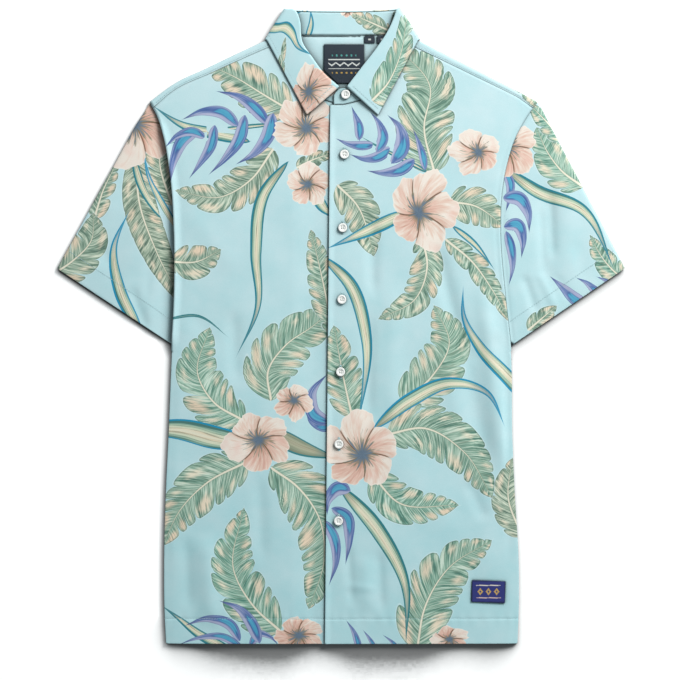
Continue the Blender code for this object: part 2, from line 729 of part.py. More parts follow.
def button_mesh(cutters):
    """Four-hole button: a turned disc with a rounded rim round a dished middle."""
    top = BUTTON_HEIGHT
    dish = top - BUTTON_DISH
    inner = BUTTON_RADIUS - BUTTON_RIM
    profile = (
        (0.0, dish),
        (inner - BUTTON_ROUNDING, dish),
        (inner, top),
        (BUTTON_RADIUS - BUTTON_ROUNDING, top),
        (BUTTON_RADIUS, top - BUTTON_ROUNDING),
        (BUTTON_RADIUS - BUTTON_ROUNDING / 2, BUTTON_ROUNDING),
        (BUTTON_RADIUS - 2 * BUTTON_ROUNDING, 0.0),
        (0.0, 0.0),
    )
    line = bpy.data.meshes.new("button_profile")
    points = [(radius * MM, 0.0, height * MM) for radius, height in profile]
    line.from_pydata(points, [(i, i + 1) for i in range(len(points) - 1)], [])
    blank = bpy.data.objects.new("button_blank", line)
    cutters.objects.link(blank)
    blank.hide_render = True
    screw = blank.modifiers.new("Turn", "SCREW")
    screw.steps = screw.render_steps = BUTTON_SIDES
    screw.use_merge_vertices = True
    screw.merge_threshold = 0.0001 * MM

    shape = bmesh.new()
    for x in (-0.5, 0.5):
        for y in (-0.5, 0.5):
            ring = bmesh.ops.create_cone(
                shape,
                cap_ends=True,
                segments=DRILL_SIDES,
                radius1=BUTTON_HOLE_RADIUS * MM,
                radius2=BUTTON_HOLE_RADIUS * MM,
                depth=4 * BUTTON_HEIGHT * MM,
            )
            where = (x * BUTTON_HOLE_SPACING * MM, y * BUTTON_HOLE_SPACING * MM, 0.0)
            bmesh.ops.translate(shape, verts=ring["verts"], vec=where)
    drill_mesh = bpy.data.meshes.new("button_drill")
    shape.to_mesh(drill_mesh)
    shape.free()
    drill = bpy.data.objects.new("button_drill", drill_mesh)
    cutters.objects.link(drill)
    drill.hide_render = True
    drill.display_type = "WIRE"
    holes = blank.modifiers.new("Holes", "BOOLEAN")
    holes.operation = "DIFFERENCE"
    holes.object = drill

    bpy.context.view_layer.update()
    graph = bpy.context.evaluated_depsgraph_get()
    mesh = bpy.data.meshes.new_from_object(blank.evaluated_get(graph))
    mesh.name = "button"
    for helper in (blank, drill):
        bpy.data.objects.remove(helper)
    mesh.shade_smooth()
    mesh.set_sharp_from_angle(angle=math.radians(30))
    return mesh


def stand_slope():
    """Height at its foot, and rise a millimetre, of the stand at the closing."""
    seam, top, _, _, _ = collar_sections("right")
    return seam[-1], (top[-1, 2] - seam[-1, 2]) / (top[-1, 1] - seam[-1, 1])


def add_buttons(collection, cutters, finish):
    mesh = button_mesh(cutters)
    foot, slope = stand_slope()
    for number, spot in enumerate(BUTTON_PLACES, start=1):
        button = place(f"button_{number}", mesh, collection, finish)
        level = front_level("right", spot.x, spot.y)
        if number == 1:
            level = foot[2] + slope * (spot.y - foot[1]) + TOP_BUTTON_LIFT
            button.rotation_euler.x = math.atan(slope)
        button.location = (spot.x * MM, spot.y * MM, (level + WALL / 2 + GAP) * MM)


def main():
    for old in list(bpy.data.objects):
        bpy.data.objects.remove(old)
    shirt = bpy.data.collections.new("hawaiian_shirt")
    cutters = bpy.data.collections.new("cutters")
    for group in (shirt, cutters):
        bpy.context.scene.collection.children.link(group)

    aqua = (0.50, 0.76, 0.80)
    navy = (0.02, 0.03, 0.09)
    sheets = {
        "front_left": (front_patches("left"), WALL, aqua),
        "front_right": (front_patches("right"), WALL, aqua),
        "back": (back_patches(), WALL, aqua),
        "yoke": (yoke_patches(), WALL, aqua),
        "sleeve_left": (sleeve_patches("left"), WALL, aqua),
        "sleeve_right": (sleeve_patches("right"), WALL, aqua),
        "collar_stand": (stand_patches(), WALL, aqua),
        "collar_fall": (fall_patches(), COLLAR_WALL, aqua),
        "neck_label": (neck_label_patches(), LABEL_WALL, navy),
        "hem_label": (hem_label_patches(), LABEL_WALL, navy),
    }
    for number, (centre, half) in enumerate(SIZE_TABS, start=1):
        sheets[f"size_tab_{number}"] = (size_tab_patches(centre, half), LABEL_WALL, navy)
    for name, (patches, wall, colour) in sheets.items():
        finish = material(name, colour, 0.85 if colour == aqua else 0.7)
        add_sheet(name, patches, wall, shirt, finish)
    add_buttons(shirt, cutters, material("button", (0.86, 0.87, 0.84), 0.3))


main()
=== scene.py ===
"""Looks of the hawaiian shirt: printed cotton shells, stitching, labels, buttons, floor and light.

Lengths and tables are in millimetres, in the shirt's own frame (+Y to the collar, +X to the
viewer's right, z = 0 under the back). Each cloth piece is a fine numpy surface with a thin
Solidify wall, on the same middle surface as its solid. The print is painted in the cloth's
material from vertex attributes, which come from short tables of leaves and flowers.
"""

import math
from collections import namedtuple
from functools import partial

import bmesh
import bpy
import numpy as np
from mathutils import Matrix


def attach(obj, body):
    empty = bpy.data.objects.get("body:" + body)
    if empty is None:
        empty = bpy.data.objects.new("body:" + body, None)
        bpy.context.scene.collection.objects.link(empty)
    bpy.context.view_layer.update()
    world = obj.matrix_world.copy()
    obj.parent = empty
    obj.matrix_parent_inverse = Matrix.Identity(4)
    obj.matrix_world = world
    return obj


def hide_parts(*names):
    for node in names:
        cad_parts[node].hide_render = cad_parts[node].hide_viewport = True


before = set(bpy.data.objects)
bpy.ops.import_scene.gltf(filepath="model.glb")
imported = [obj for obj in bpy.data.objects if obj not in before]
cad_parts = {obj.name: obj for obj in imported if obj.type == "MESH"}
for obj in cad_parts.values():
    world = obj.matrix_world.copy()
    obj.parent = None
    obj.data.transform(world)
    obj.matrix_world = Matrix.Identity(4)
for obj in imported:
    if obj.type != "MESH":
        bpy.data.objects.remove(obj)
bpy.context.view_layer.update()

MM = 0.001
SIGN = {"left": -1.0, "right": 1.0}
UP = np.array([0.0, 0.0, 1.0])

# Walls: cotton drawn at 0.6 mm so that its edges show, and the doubled, fused collar
CLOTH = 0.6
COLLAR_CLOTH = 1.1
LABEL_CLOTH = 0.5

# The solids' walls and the height of each layer's middle, as in the part
WALL = 1.2
GAP = 0.3
PITCH = WALL + GAP
BACK_Z = WALL / 2
BACK_TUCK_Z = BACK_Z + PITCH
FRONT_TUCK_Z = BACK_Z + 2 * PITCH
FRONT_Z = BACK_Z + 3 * PITCH
COLLAR_WALL = 1.4
FALL_BACK_Z = COLLAR_WALL / 2
NECK_Z = 2.7
STAND_TOP_Z = 7.0
FALL_TOP_Z = 9.0
FALL_EDGE_Z = FRONT_Z + WALL / 2 + GAP + COLLAR_WALL / 2

# Heights and widths of the garment, as in the part
HEM_Y = -387.0
HEM_HALF = 218.0
PIT_Y = -32.0
YOKE_SEAM_Y = 230.0
FRONT_YOKE_END_Y = 267.0
TIP_Y = 275.0
NECK_POINT_Y = 346.0
BACK_NECK_DIP = 0.4
COLLAR_X = 1.8
NECK_HALF = 77.7
NECK_DEPTH = 75.0
NECK_FLATTENING = 0.2
FRONT_LAP = 14.5
FRONT_SLANT = 6.5
STAND_LAP = 10.8
STAND_END_SHARES = (0.0, 0.55, 1.0)
STAND_END_HEIGHTS = (17.5, 11.0)
TUCK = 60.0
TUCK_AT_PIT = 14.0
TUCK_TAPER = 90.0
UNDERLAP_FROM = -62.0
UNDERLAP_TO = -30.0
LIFT_FROM_Y = 296.0
LIFT_TO_Y = 336.0
LIFT_OUT = 122.0
LIFT_IN = 98.0
FRONT_YOKE_WIDTH = (10.0, 6.5)
CURVED_GAP = 0.6
SLEEVE_TUCKS = {"left": 10.0, "right": 3.0}
SLEEVE_CLEAR = {"left": 2.0, "right": 0.4}
SLEEVE_RISE = 26.0
SLIPPED_Z = 2.7
SLEEVE_FOOT_Y = {"left": -19.2, "right": -17.0}
HIDDEN_FOOT_Y = -27.2
ROLL_BACK_Y = 386.5
ROLL_INSET = 2.3
ROLL_START = 0.65
FALL_SIDE = (95.3, 351.3)
FALL_POINT = (43.5, 258.0)
FALL_BACK_Y = 344.0
FALL_BULGE = 0.4

Edge = namedtuple("Edge", "y left right")
EDGES = (
    Edge(-387, 214.5, 216.4),
    Edge(-345, 216.6, 218.0),
    Edge(-285, 217.0, 217.8),
    Edge(-200, 214.8, 213.0),
    Edge(-130, 211.5, 210.0),
    Edge(-32, 207.5, 208.5),
    Edge(40, 203.9, 200.8),
    Edge(120, 204.2, 195.0),
    Edge(165, 206.6, 197.0),
    Edge(200, 210.8, 203.4),
    Edge(230, 216.2, 213.0),
    Edge(255, 224.0, 226.5),
    Edge(275, 234.5, 240.5),
)
Shoulder = namedtuple("Shoulder", "share left_x left_y right_x right_y")
SHOULDERS = (
    Shoulder(0.00, 75.2, 358.0, 78.8, 358.0),
    Shoulder(0.30, 118.0, 338.5, 126.0, 334.5),
    Shoulder(0.62, 165.0, 316.0, 175.0, 309.5),
    Shoulder(0.86, 207.0, 295.5, 213.0, 290.0),
    Shoulder(1.00, 234.5, 275.0, 240.5, 275.0),
)
Roll = namedtuple("Roll", "share left_u left_y right_u right_y")
ROLLS = (
    Roll(0.00, 71.0, 390.0, 70.0, 391.0),
    Roll(0.12, 59.0, 388.0, 64.5, 380.5),
    Roll(0.25, 53.0, 376.0, 60.0, 369.5),
    Roll(0.45, 50.5, 349.0, 51.0, 353.0),
    Roll(0.62, 39.0, 330.5, 40.5, 338.0),
    Roll(0.82, 24.0, 309.5, 25.0, 317.5),
    Roll(1.00, 6.0, 293.5, 7.0, 293.5),
)
SleeveHem = namedtuple("SleeveHem", "outer_x outer_y inner_x inner_y")
SLEEVE_HEMS = {
    "left": SleeveHem(347.5, 71.7, 213.5, -16.6),
    "right": SleeveHem(347.5, 71.7, 212.0, -20.0),
}

# Soft creases: a ridge (or a trough, below 0) along a line, fading out over a share of its length.
# The first rows of each table are the part's own folds, the rest are the finer ones.
FOLD_FADE = 0.25
Fold = namedtuple("Fold", "x0 y0 x1 y1 height width")
BODY_FOLDS = (
    Fold(-196, 150, -120, 60, 0.9, 16),
    Fold(-190, -60, -120, -150, 0.8, 20),
    Fold(-160, -240, -150, -380, 1.2, 18),
    Fold(-78, -120, -82, -300, 0.7, 22),
    Fold(70, -60, 92, -260, 0.8, 24),
    Fold(92, -300, 98, -388, 1.2, 14),
    Fold(182, 20, 130, -70, 0.9, 18),
    Fold(185, -120, 176, -330, 0.8, 16),
    Fold(176, 170, 120, 110, 0.8, 16),
)
BODY_CREASES = (
    Fold(204, 20, 207, -320, -0.75, 5.5),
    Fold(114, 108, 148, -24, -2.5, 10),
    Fold(146, 4, 182, -186, -1.4, 11),
    Fold(172, 70, 201, -200, 3.3, 12),
    Fold(118, -10, 158, -176, 1.2, 13),
    Fold(38, 146, 39, 30, -1.7, 8),
    Fold(36, 20, 33, -124, -1.6, 8),
    Fold(64, 60, 60, -130, 1.0, 13),
    Fold(-100, -176, -96, -296, -1.1, 9),
    Fold(-132, 24, -128, -76, -1.2, 9),
    Fold(-190, -252, -186, -352, -1.2, 8),
    Fold(-168, -250, -158, -372, 1.8, 12),
    Fold(8, -262, 14, -346, -1.4, 6),
    Fold(46, -268, 50, -354, -1.4, 7),
    Fold(28, -276, 32, -352, 0.9, 8),
    Fold(2, -316, 44, -321, 0.6, 5),
    Fold(154, -186, 178, -240, -1.1, 8),
    Fold(-40, 60, -52, -80, -0.4, 14),
    Fold(150, -150, 138, -250, -0.4, 12),
    Fold(-150, 200, -96, 236, 0.5, 12),
    Fold(112, 236, 160, 198, 0.5, 12),
    Fold(-186, 20, -150, -28, -0.5, 9),
    Fold(196, -10, 158, -46, -0.5, 8),
)
SLEEVE_FOLDS = (
    Fold(250, 190, 252, 30, -1.3, 12),
    Fold(272, 196, 282, 50, 0.9, 14),
    Fold(-238, 170, -262, 60, 0.8, 16),
    Fold(-300, 120, -285, 70, -0.7, 12),
)
SLEEVE_CREASES = (
    Fold(244, 150, 248, 62, -0.6, 5),
    Fold(256, 168, 260, 76, -1.3, 6),
    Fold(222, 66, 240, 14, -1.2, 6),
    Fold(240, 70, 264, 20, 1.0, 6),
    Fold(260, 66, 284, 30, -0.6, 6),
    Fold(-258, 52, -236, -8, -1.2, 7),
    Fold(-292, 100, -268, 44, -0.5, 8),
    Fold(284, 110, 300, 52, -0.4, 9),
    Fold(-228, 130, -238, 20, -0.7, 7),
    Fold(-262, 196, -290, 130, 0.5, 10),
)

# Hems and stitching. The hem is pressed straighter than on the solid, inside its outline
HEM_SAG = 0.6
HEM_DEPTH = 30.0
SLEEVE_HEM_DEPTH = 25.0
RETURN_DROP = 0.75
FACING_WIDTH = 12.0
STITCH_PITCH = 3.2
STITCH_LENGTH = 2.5
STITCH_RADIUS = 0.24
EDGE_STITCH = 6.0

# Relief of the cloth. The body's sides are round, and a dip runs along the armhole's seam
SIDE_ROUND = 0.75
ARMHOLE_DIP = 0.35
# The left armhole's edge and the right front's edge stand up softly, below the yoke's strip
STAND_UP = {"left": 3.9, "right": 0.0}
FRONT_EDGE_LIFT = {"left": 0.0, "right": 1.1}
STRIP_Y = 262.0
# The hem's second layer, and the dip and pucker that its stitches draw
HEM_STEP = 0.32
STITCH_DIP = 0.28
PUCKER = 0.16
# Where the left sleeve is low, between the body's layers, and rises out of them
SLEEVE_LOW = 6.0
SLIPPED_BACK_Z = BACK_TUCK_Z - 0.6
YOKE_HEM_DIP = 0.22
ALLOWANCE = 5.0

# Steps of the fine surfaces
STEPS = {
    "neck": 46,
    "lap": 7,
    "seam": 76,
    "hem": 32,
    "side": 138,
    "armhole": 108,
    "yoke_end": 16,
    "back_rows": 170,
    "back_columns": 116,
    "yoke_rows": 46,
    "shoulder": 64,
    "back_neck": 56,
    "sleeve_columns": 112,
    "sleeve_rows": 60,
    "turn": 6,
    "tuck": 8,
    "return": 5,
    "collar_back": 30,
    "collar_turn": 12,
    "collar_front": 60,
    "stand_rows": 12,
    "stand_end": 8,
    "roll": 8,
    "fall_rows": 26,
}


def ease(x):
    """0 below 0, 1 above 1, and a smooth S between."""
    x = np.clip(x, 0.0, 1.0)
    return x * x * (3.0 - 2.0 * x)


def bell(x, width):
    """1 at 0, falling off on both sides: e to the power of minus the square of x over the width."""
    return np.exp(-((x / width) ** 2))


def through(parameter, values, at):
    """Smooth curve through the values at their parameters, read at other parameters."""
    x = np.asarray(parameter, float)
    y = np.asarray(values, float)
    slope = np.gradient(y, x)
    at = np.asarray(at, float)
    k = np.clip(np.searchsorted(x, at, side="right") - 1, 0, len(x) - 2)
    step = x[k + 1] - x[k]
    t = (at - x[k]) / step
    start = y[k] * (1 + 2 * t) * (1 - t) ** 2 + slope[k] * step * t * (1 - t) ** 2
    end = y[k + 1] * (3 - 2 * t) * t**2 - slope[k + 1] * step * (1 - t) * t**2
    return start + end


def column(table, name):
    """One named value of each of a table's rows."""
    return [getattr(row, name) for row in table]


def plan(x, y):
    """Points in plan from their x and their y, each spread over the other's shape."""
    return np.stack(np.broadcast_arrays(np.asarray(x, float), np.asarray(y, float)), axis=-1)


def raised(points, z):
    """Plan points with their heights, as 3-D points."""
    return np.concatenate([points, np.broadcast_to(z, points.shape[:-1])[..., None]], axis=-1)


def unit(vectors):
    """Each vector divided by its length."""
    return vectors / np.linalg.norm(vectors, axis=-1, keepdims=True)


def blend(a, b, share):
    """Straight way from a to b: one row for each share."""
    share = np.reshape(share, np.shape(share) + (1,) * np.ndim(a))
    return a + share * (np.asarray(b) - a)


def edge_x(side, y):
    """x of the body's outer edge at the heights y."""
    return SIGN[side] * through(column(EDGES, "y"), column(EDGES, side), y)


def folds(table, x, y):
    """Height that the creases add: each a bell across its line, fading out at its two ends."""
    total = np.zeros(np.broadcast(x, y).shape)
    for fold in table:
        run = np.array([fold.x1 - fold.x0, fold.y1 - fold.y0], float)
        length = np.hypot(*run)
        along = ((x - fold.x0) * run[0] + (y - fold.y0) * run[1]) / length**2
        across = ((x - fold.x0) * run[1] - (y - fold.y0) * run[0]) / length
        fade = ease(along / FOLD_FADE) * ease((1 - along) / FOLD_FADE)
        total = total + fold.height * fade * bell(across, fold.width)
    return total


def front_level(side, x, y):
    """Height of a front in the part: the left one sinks by one layer under the right one."""
    level = FRONT_Z + folds(BODY_FOLDS, x, y)
    if side == "left":
        level = level - PITCH * ease((x - UNDERLAP_FROM) / (UNDERLAP_TO - UNDERLAP_FROM))
    return level


def ripple(x, y):
    """Slow unevenness of pressed cotton: three crossed sine waves, 0.13 mm high each."""
    waves = np.sin(x / 19 + y / 43) + np.sin(y / 27 - x / 61 + 1.3) + np.sin((x + y) / 15 + 2.1)
    return 0.13 * waves


def hem_y(x):
    """The hem sags a little between the two sides."""
    return HEM_Y - HEM_SAG * (1 - (x / HEM_HALF) ** 2)


def front_surface(side, x, y):
    """Height of a front's middle surface: the part's level with creases and unevenness away from
    the edges, less the rounded side and the armhole's dip, and with the armhole's and the front's
    edges, the sewn hem and its pucker added."""
    inside = np.abs(edge_x(side, np.clip(y, HEM_Y, TIP_Y))) - np.abs(x)
    below_strip = ease((STRIP_Y - y) / 30)
    # Each part of the relief eases in over a few millimetres from its edge
    calm = ease(inside / 14) * ease((STRIP_Y - y) / 20)
    level = front_level(side, x, y) + calm * (folds(BODY_CREASES, x, y) + ripple(x, y))
    rounded = SIDE_ROUND * (1 - ease(inside / 13)) * ease((PIT_Y + 25 - y) / 40)
    edge = STAND_UP[side] * (1 - ease(inside / 9)) * below_strip - ARMHOLE_DIP * bell(inside - 5, 2.0)
    slant = FRONT_SLANT * (TIP_Y - y) / (TIP_Y - HEM_Y)
    lift = 1 - ease((x - COLLAR_X + FRONT_LAP + slant) / 7)
    stitch = y - hem_y(x) - HEM_DEPTH
    hem = HEM_STEP * ease(-stitch / 1.5) - STITCH_DIP * bell(stitch, 1.2)
    pucker = PUCKER * np.sin(x / 2.3 + np.sin(x / 11)) * bell(stitch, 7)
    edge = edge * ease((y - PIT_Y) / 20) + FRONT_EDGE_LIFT[side] * lift * below_strip
    return level - rounded + edge + hem + pucker


def yoke_level(x, y):
    """Height of the yoke's back: lifted near the neck, where the fall lies under it."""
    up = ease((y - LIFT_FROM_Y) / (LIFT_TO_Y - LIFT_FROM_Y))
    out = ease((LIFT_OUT - np.abs(x - COLLAR_X)) / (LIFT_OUT - LIFT_IN))
    return BACK_Z + (NECK_Z - BACK_Z) * up * out


def turn(centre, outward, low, high, steps):
    """Half-circle turn of cloth from height low to height high, bulging outwards from its centre."""
    angle = np.linspace(0.0, math.pi, steps + 1)[:, None]
    radius = (high - low)[None] / 2
    points = centre[None] + outward[None] * (radius * np.sin(angle))[..., None]
    return raised(points, ((low + high) / 2)[None] - radius * np.cos(angle))


def coons(bottom, top, inner, outer):
    """Plan grid filled in between four edges; bottom and top run from inner to outer."""
    u = ((top[:, 0] - top[0, 0]) / (top[-1, 0] - top[0, 0]))[None, :, None]
    v = ((outer[:, 1] - outer[0, 1]) / (outer[-1, 1] - outer[0, 1]))[:, None, None]
    rules = (1 - v) * bottom[None] + v * top[None] + (1 - u) * inner[:, None] + u * outer[:, None]
    corners = (1 - u) * (1 - v) * bottom[0] + u * (1 - v) * bottom[-1]
    return rules - corners - (1 - u) * v * top[0] - u * v * top[-1]


def shoulder(side, share):
    """Folded shoulder line in plan, and its outward direction, at the shares from the neck."""
    shares = column(SHOULDERS, "share")

    def point(at):
        x = SIGN[side] * through(shares, column(SHOULDERS, side + "_x"), at)
        return plan(x, through(shares, column(SHOULDERS, side + "_y"), at))

    run = unit(point(np.minimum(share + 0.01, 1)) - point(np.maximum(share - 0.01, 0)))
    outward = np.stack([-run[:, 1], run[:, 0]], axis=-1) * SIGN[side]
    return point(share), outward


def shoulder_turn(side, steps=10):
    """The yoke's turn over the shoulder: centres, outward directions, and the low height."""
    line, outward = shoulder(side, np.linspace(0, 1, steps + 1))
    inset = (FRONT_Z - yoke_level(line[:, 0], line[:, 1])) / 2 + WALL / 2
    centre = line - outward * inset[:, None]
    return centre, outward, yoke_level(centre[:, 0], centre[:, 1])


def neckline(side, share):
    """Front neck edge from the neck point (0) to the centre (1): a flattened quarter ellipse."""
    flat = NECK_FLATTENING
    angle = share * math.pi / 2
    u = NECK_HALF * ((1 - flat) * np.cos(angle) + flat * (1 - share))
    y = NECK_POINT_Y - NECK_DEPTH * ((1 - flat) * np.sin(angle) + flat * share)
    return plan(COLLAR_X + SIGN[side] * u, y)


def front_yoke_edge(side, share):
    """Lower edge of the yoke's strip on the front, bent to meet the neck point and the armhole."""

    def strip_edge(at):
        line, outward = shoulder(side, at)
        width = FRONT_YOKE_WIDTH[0] + (FRONT_YOKE_WIDTH[1] - FRONT_YOKE_WIDTH[0]) * at
        return line - outward * width[:, None]

    ends = strip_edge(np.array([0.0, 1.0]))
    start = neckline(side, np.zeros(1))[0] + (0, GAP) - ends[0]
    end = np.array([edge_x(side, FRONT_YOKE_END_Y), FRONT_YOKE_END_Y + GAP]) - ends[1]
    near = np.clip(1 - share / 0.1, 0, 1)[:, None]
    far = np.clip(1 - (1 - share) / 0.1, 0, 1)[:, None]
    return strip_edge(share) + start * near + end * far


def body_edge(side, heights):
    """Outer edge of a body panel's flat part: the folded side starts its turn inside the edge."""
    inset = np.where(heights <= PIT_Y, (PITCH + WALL) / 2, 0.0)
    return plan(edge_x(side, heights) - SIGN[side] * inset, heights)


Patch = namedtuple("Patch", "points chart")


def unrolled(points, start, outward):
    """Cloth places of a strip that leaves a panel's edge: its own length, laid out flat."""
    steps = np.linalg.norm(np.diff(points, axis=0), axis=-1)
    length = np.concatenate([np.zeros((1, steps.shape[1])), np.cumsum(steps, axis=0)])
    return start[None] + outward[None] * length[..., None]


def returned(edge, outward, width, chart, level):
    """Folded edge: a half-circle turn under the panel's edge, then a strip back under its level."""
    top = edge[:, 2]
    rows = turn(edge[:, :2], outward, top - RETURN_DROP, top, STEPS["turn"])[::-1]
    back = np.linspace(0, width, STEPS["return"] + 1)[1:, None, None]
    strip = edge[None, :, :2] - outward[None] * back
    strip = raised(strip, level(strip[..., 0], strip[..., 1]) - RETURN_DROP)
    points = np.concatenate([rows, strip])
    return Patch(points, unrolled(points, chart, outward))


def side_heights():
    """Heights of the rows along a tucked side: close ones in the hem, wider ones up to the armhole."""
    low = np.linspace(HEM_Y, HEM_Y + HEM_DEPTH + 5, STEPS["hem"] + 1)
    return np.concatenate([low, np.linspace(low[-1], PIT_Y, STEPS["side"] + 1)[1:]])


def side_tuck(side, edge, panel_z, tuck_z):
    """Turned side of a panel and the tuck behind it, as one patch from the panel inwards."""
    sign = SIGN[side]
    outward = np.broadcast_to([sign, 0.0], edge.shape)
    flat = np.full(len(edge), tuck_z)
    if panel_z[0] > tuck_z:
        rows = turn(edge, outward, flat, panel_z, STEPS["turn"])[::-1]
    else:
        rows = turn(edge, outward, panel_z, flat, STEPS["turn"])
    width = TUCK_AT_PIT + (TUCK - TUCK_AT_PIT) * ease((PIT_Y - edge[:, 1]) / TUCK_TAPER)
    inwards = np.linspace(0, 1, STEPS["tuck"] + 1)[1:, None] * width
    strip = raised(plan(edge[:, 0] - sign * inwards, edge[:, 1]), tuck_z)
    points = np.concatenate([rows, strip])
    return Patch(points, unrolled(points, edge, outward))


def front_patches(side):
    """Flat part of a front between its four edges, its tucked side, folded front edge and hem."""
    sign = SIGN[side]
    neck = neckline(side, np.linspace(1, 0, STEPS["neck"] + 1))
    lap = np.linspace(-FRONT_LAP, 0, STEPS["lap"] + 1)[:-1]
    lap = plan(COLLAR_X + sign * lap, neck[0, 1])
    share = np.linspace(0, 1, STEPS["seam"] + 1)[1:]
    seam = front_yoke_edge(side, share) - shoulder(side, share)[1] * GAP
    seam[-1] = (edge_x(side, FRONT_YOKE_END_Y), FRONT_YOKE_END_Y)
    top = np.concatenate([lap, neck, seam])
    armhole = np.linspace(PIT_Y, YOKE_SEAM_Y, STEPS["armhole"] + 1)[1:]
    last = np.linspace(YOKE_SEAM_Y, FRONT_YOKE_END_Y, STEPS["yoke_end"] + 1)[1:]
    heights = np.concatenate([side_heights(), armhole, last])
    outer = body_edge(side, heights)
    across = (top[:, 0] - top[0, 0]) / (top[-1, 0] - top[0, 0])
    hem_x = top[0, 0] - FRONT_SLANT + across * (outer[0, 0] - top[0, 0] + FRONT_SLANT)
    bottom = plan(hem_x, hem_y(hem_x))
    up = (heights - heights[0]) / (heights[-1] - heights[0])
    outer[0] = bottom[-1]
    grid = coons(bottom, top, bottom[0] + up[:, None] * (top[0] - bottom[0]), outer)
    panel = raised(grid, front_surface(side, grid[..., 0], grid[..., 1]))
    sides = len(side_heights())
    lower = panel[:sides, -1]
    tuck = side_tuck(side, lower[:, :2], lower[:, 2], FRONT_TUCK_Z)
    level = partial(front_surface, side)
    outward = np.broadcast_to([-sign, 0.0], (len(heights), 2))
    facing = returned(panel[:, 0], outward, FACING_WIDTH, grid[:, 0], level)
    down = np.broadcast_to([0.0, -1.0], (len(top), 2))
    hem = returned(panel[0], down, HEM_DEPTH - 2, grid[0], level)
    # The seam allowance runs on under the yoke's strip
    way = np.array([0.0, 0.35, ALLOWANCE])[:, None, None]
    tucked_in = raised(shoulder(side, share)[1] * way, -0.8 * (way[..., 0] > 0))
    allowance = panel[-1, -len(share):] + tucked_in
    strip = Patch(allowance, allowance[..., :2])
    return [Patch(panel, grid), tuck, facing, hem, strip]


def back_chart(points):
    """Cloth places of the back: as seen from behind, on another part of the print's repeat."""
    return plan(-points[..., 0], points[..., 1])


def back_patches():
    """Flat back with both sides tucked in above it, and its hem."""
    armhole = np.linspace(PIT_Y, YOKE_SEAM_Y, STEPS["armhole"] // 2 + 1)[1:]
    side = np.linspace(HEM_Y, PIT_Y, STEPS["back_rows"] // 2 + 1)
    heights = np.concatenate([side, armhole])
    left, right = body_edge("left", heights), body_edge("right", heights)
    grid = np.swapaxes(blend(left, right, np.linspace(0, 1, STEPS["back_columns"] + 1)), 0, 1)
    grid[0, :, 1] = hem_y(grid[0, :, 0])
    level = BACK_Z + 0.12 * ease((grid[..., 1] - HEM_Y - 34) / -2)
    patches = [Patch(raised(grid, level), back_chart(grid))]
    for name, index in (("left", 0), ("right", -1)):
        lower = patches[0].points[: len(side), index]
        tuck = side_tuck(name, lower[:, :2], lower[:, 2], BACK_TUCK_Z)
        patches.append(Patch(tuck.points, back_chart(tuck.chart)))
    return patches


def back_neck(count):
    """Yoke's neck edge in plan, from the left shoulder's turn to the right one's."""
    left = shoulder_turn("left")[0][0]
    right = shoulder_turn("right")[0][0]
    share = np.linspace(0, 1, count + 1)
    edge = left + share[:, None] * (right - left)
    edge[:, 1] -= BACK_NECK_DIP * np.sin(math.pi * share)
    return edge


def yoke_patches():
    """Back part up to the shoulders and the neck, then each shoulder's turn and front strip."""
    turns = {side: shoulder_turn(side, STEPS["shoulder"]) for side in SIGN}
    neck = back_neck(STEPS["back_neck"])[1:-1]
    top = np.concatenate([turns["left"][0][::-1], neck, turns["right"][0]])
    heights = np.linspace(YOKE_SEAM_Y, FRONT_YOKE_END_Y, STEPS["yoke_rows"] + 1)
    heights = np.append(heights, np.linspace(FRONT_YOKE_END_Y, TIP_Y, 5)[1:])
    edges = {side: plan(edge_x(side, heights), heights) for side in SIGN}
    for side, index in (("left", 0), ("right", -1)):
        edges[side][0, 1] += GAP
        edges[side][-1] = top[index]
    across = ((top[:, 0] - top[0, 0]) / (top[-1, 0] - top[0, 0]))[:, None]
    bottom = edges["left"][0] + across * (edges["right"][0] - edges["left"][0])
    grid = coons(bottom, top, edges["left"], edges["right"])
    patches = [Patch(raised(grid, yoke_level(grid[..., 0], grid[..., 1])), back_chart(grid))]
    for side in SIGN:
        centre, outward, low = turns[side]
        over = turn(centre, outward, low, np.full(len(low), FRONT_Z), STEPS["turn"] + 2)
        edge = front_yoke_edge(side, np.linspace(0, 1, STEPS["shoulder"] + 1))
        inwards = np.linspace(0, 1, 7)[1:]
        strip = blend(over[-1], raised(edge, FRONT_Z), inwards)
        seam = YOKE_HEM_DIP * bell((1 - inwards) * 9 - 3, 1.0) - 0.1
        strip[..., 2] -= seam[:, None]
        points = np.concatenate([over, strip])
        patches.append(Patch(points, back_chart(unrolled(points, centre, outward))))
    return patches


def sleeve_levels(side, x, y):
    """Heights of a sleeve's two layers; the left one slips between the body's layers."""
    relief = folds(SLEEVE_FOLDS, x, y)
    outside = np.abs(x) - np.abs(edge_x(side, np.clip(y, PIT_Y, TIP_Y)))
    fine = (folds(SLEEVE_CREASES, x, y) + ripple(x + 31, y)) * ease(outside / 12)
    if side == "right":
        under = SIDE_ROUND * (1 - ease((outside + 0.5) / 1.2))
        seam = ARMHOLE_DIP * bell(outside - 3, 2.5) + under
        return FRONT_Z + relief + fine - seam, BACK_Z + under
    rise = ease((outside - SLEEVE_LOW) / SLEEVE_RISE)
    front = SLIPPED_Z + rise * (FRONT_Z - SLIPPED_Z + relief + fine)
    return front, SLIPPED_BACK_Z - rise * (SLIPPED_BACK_Z - BACK_Z)


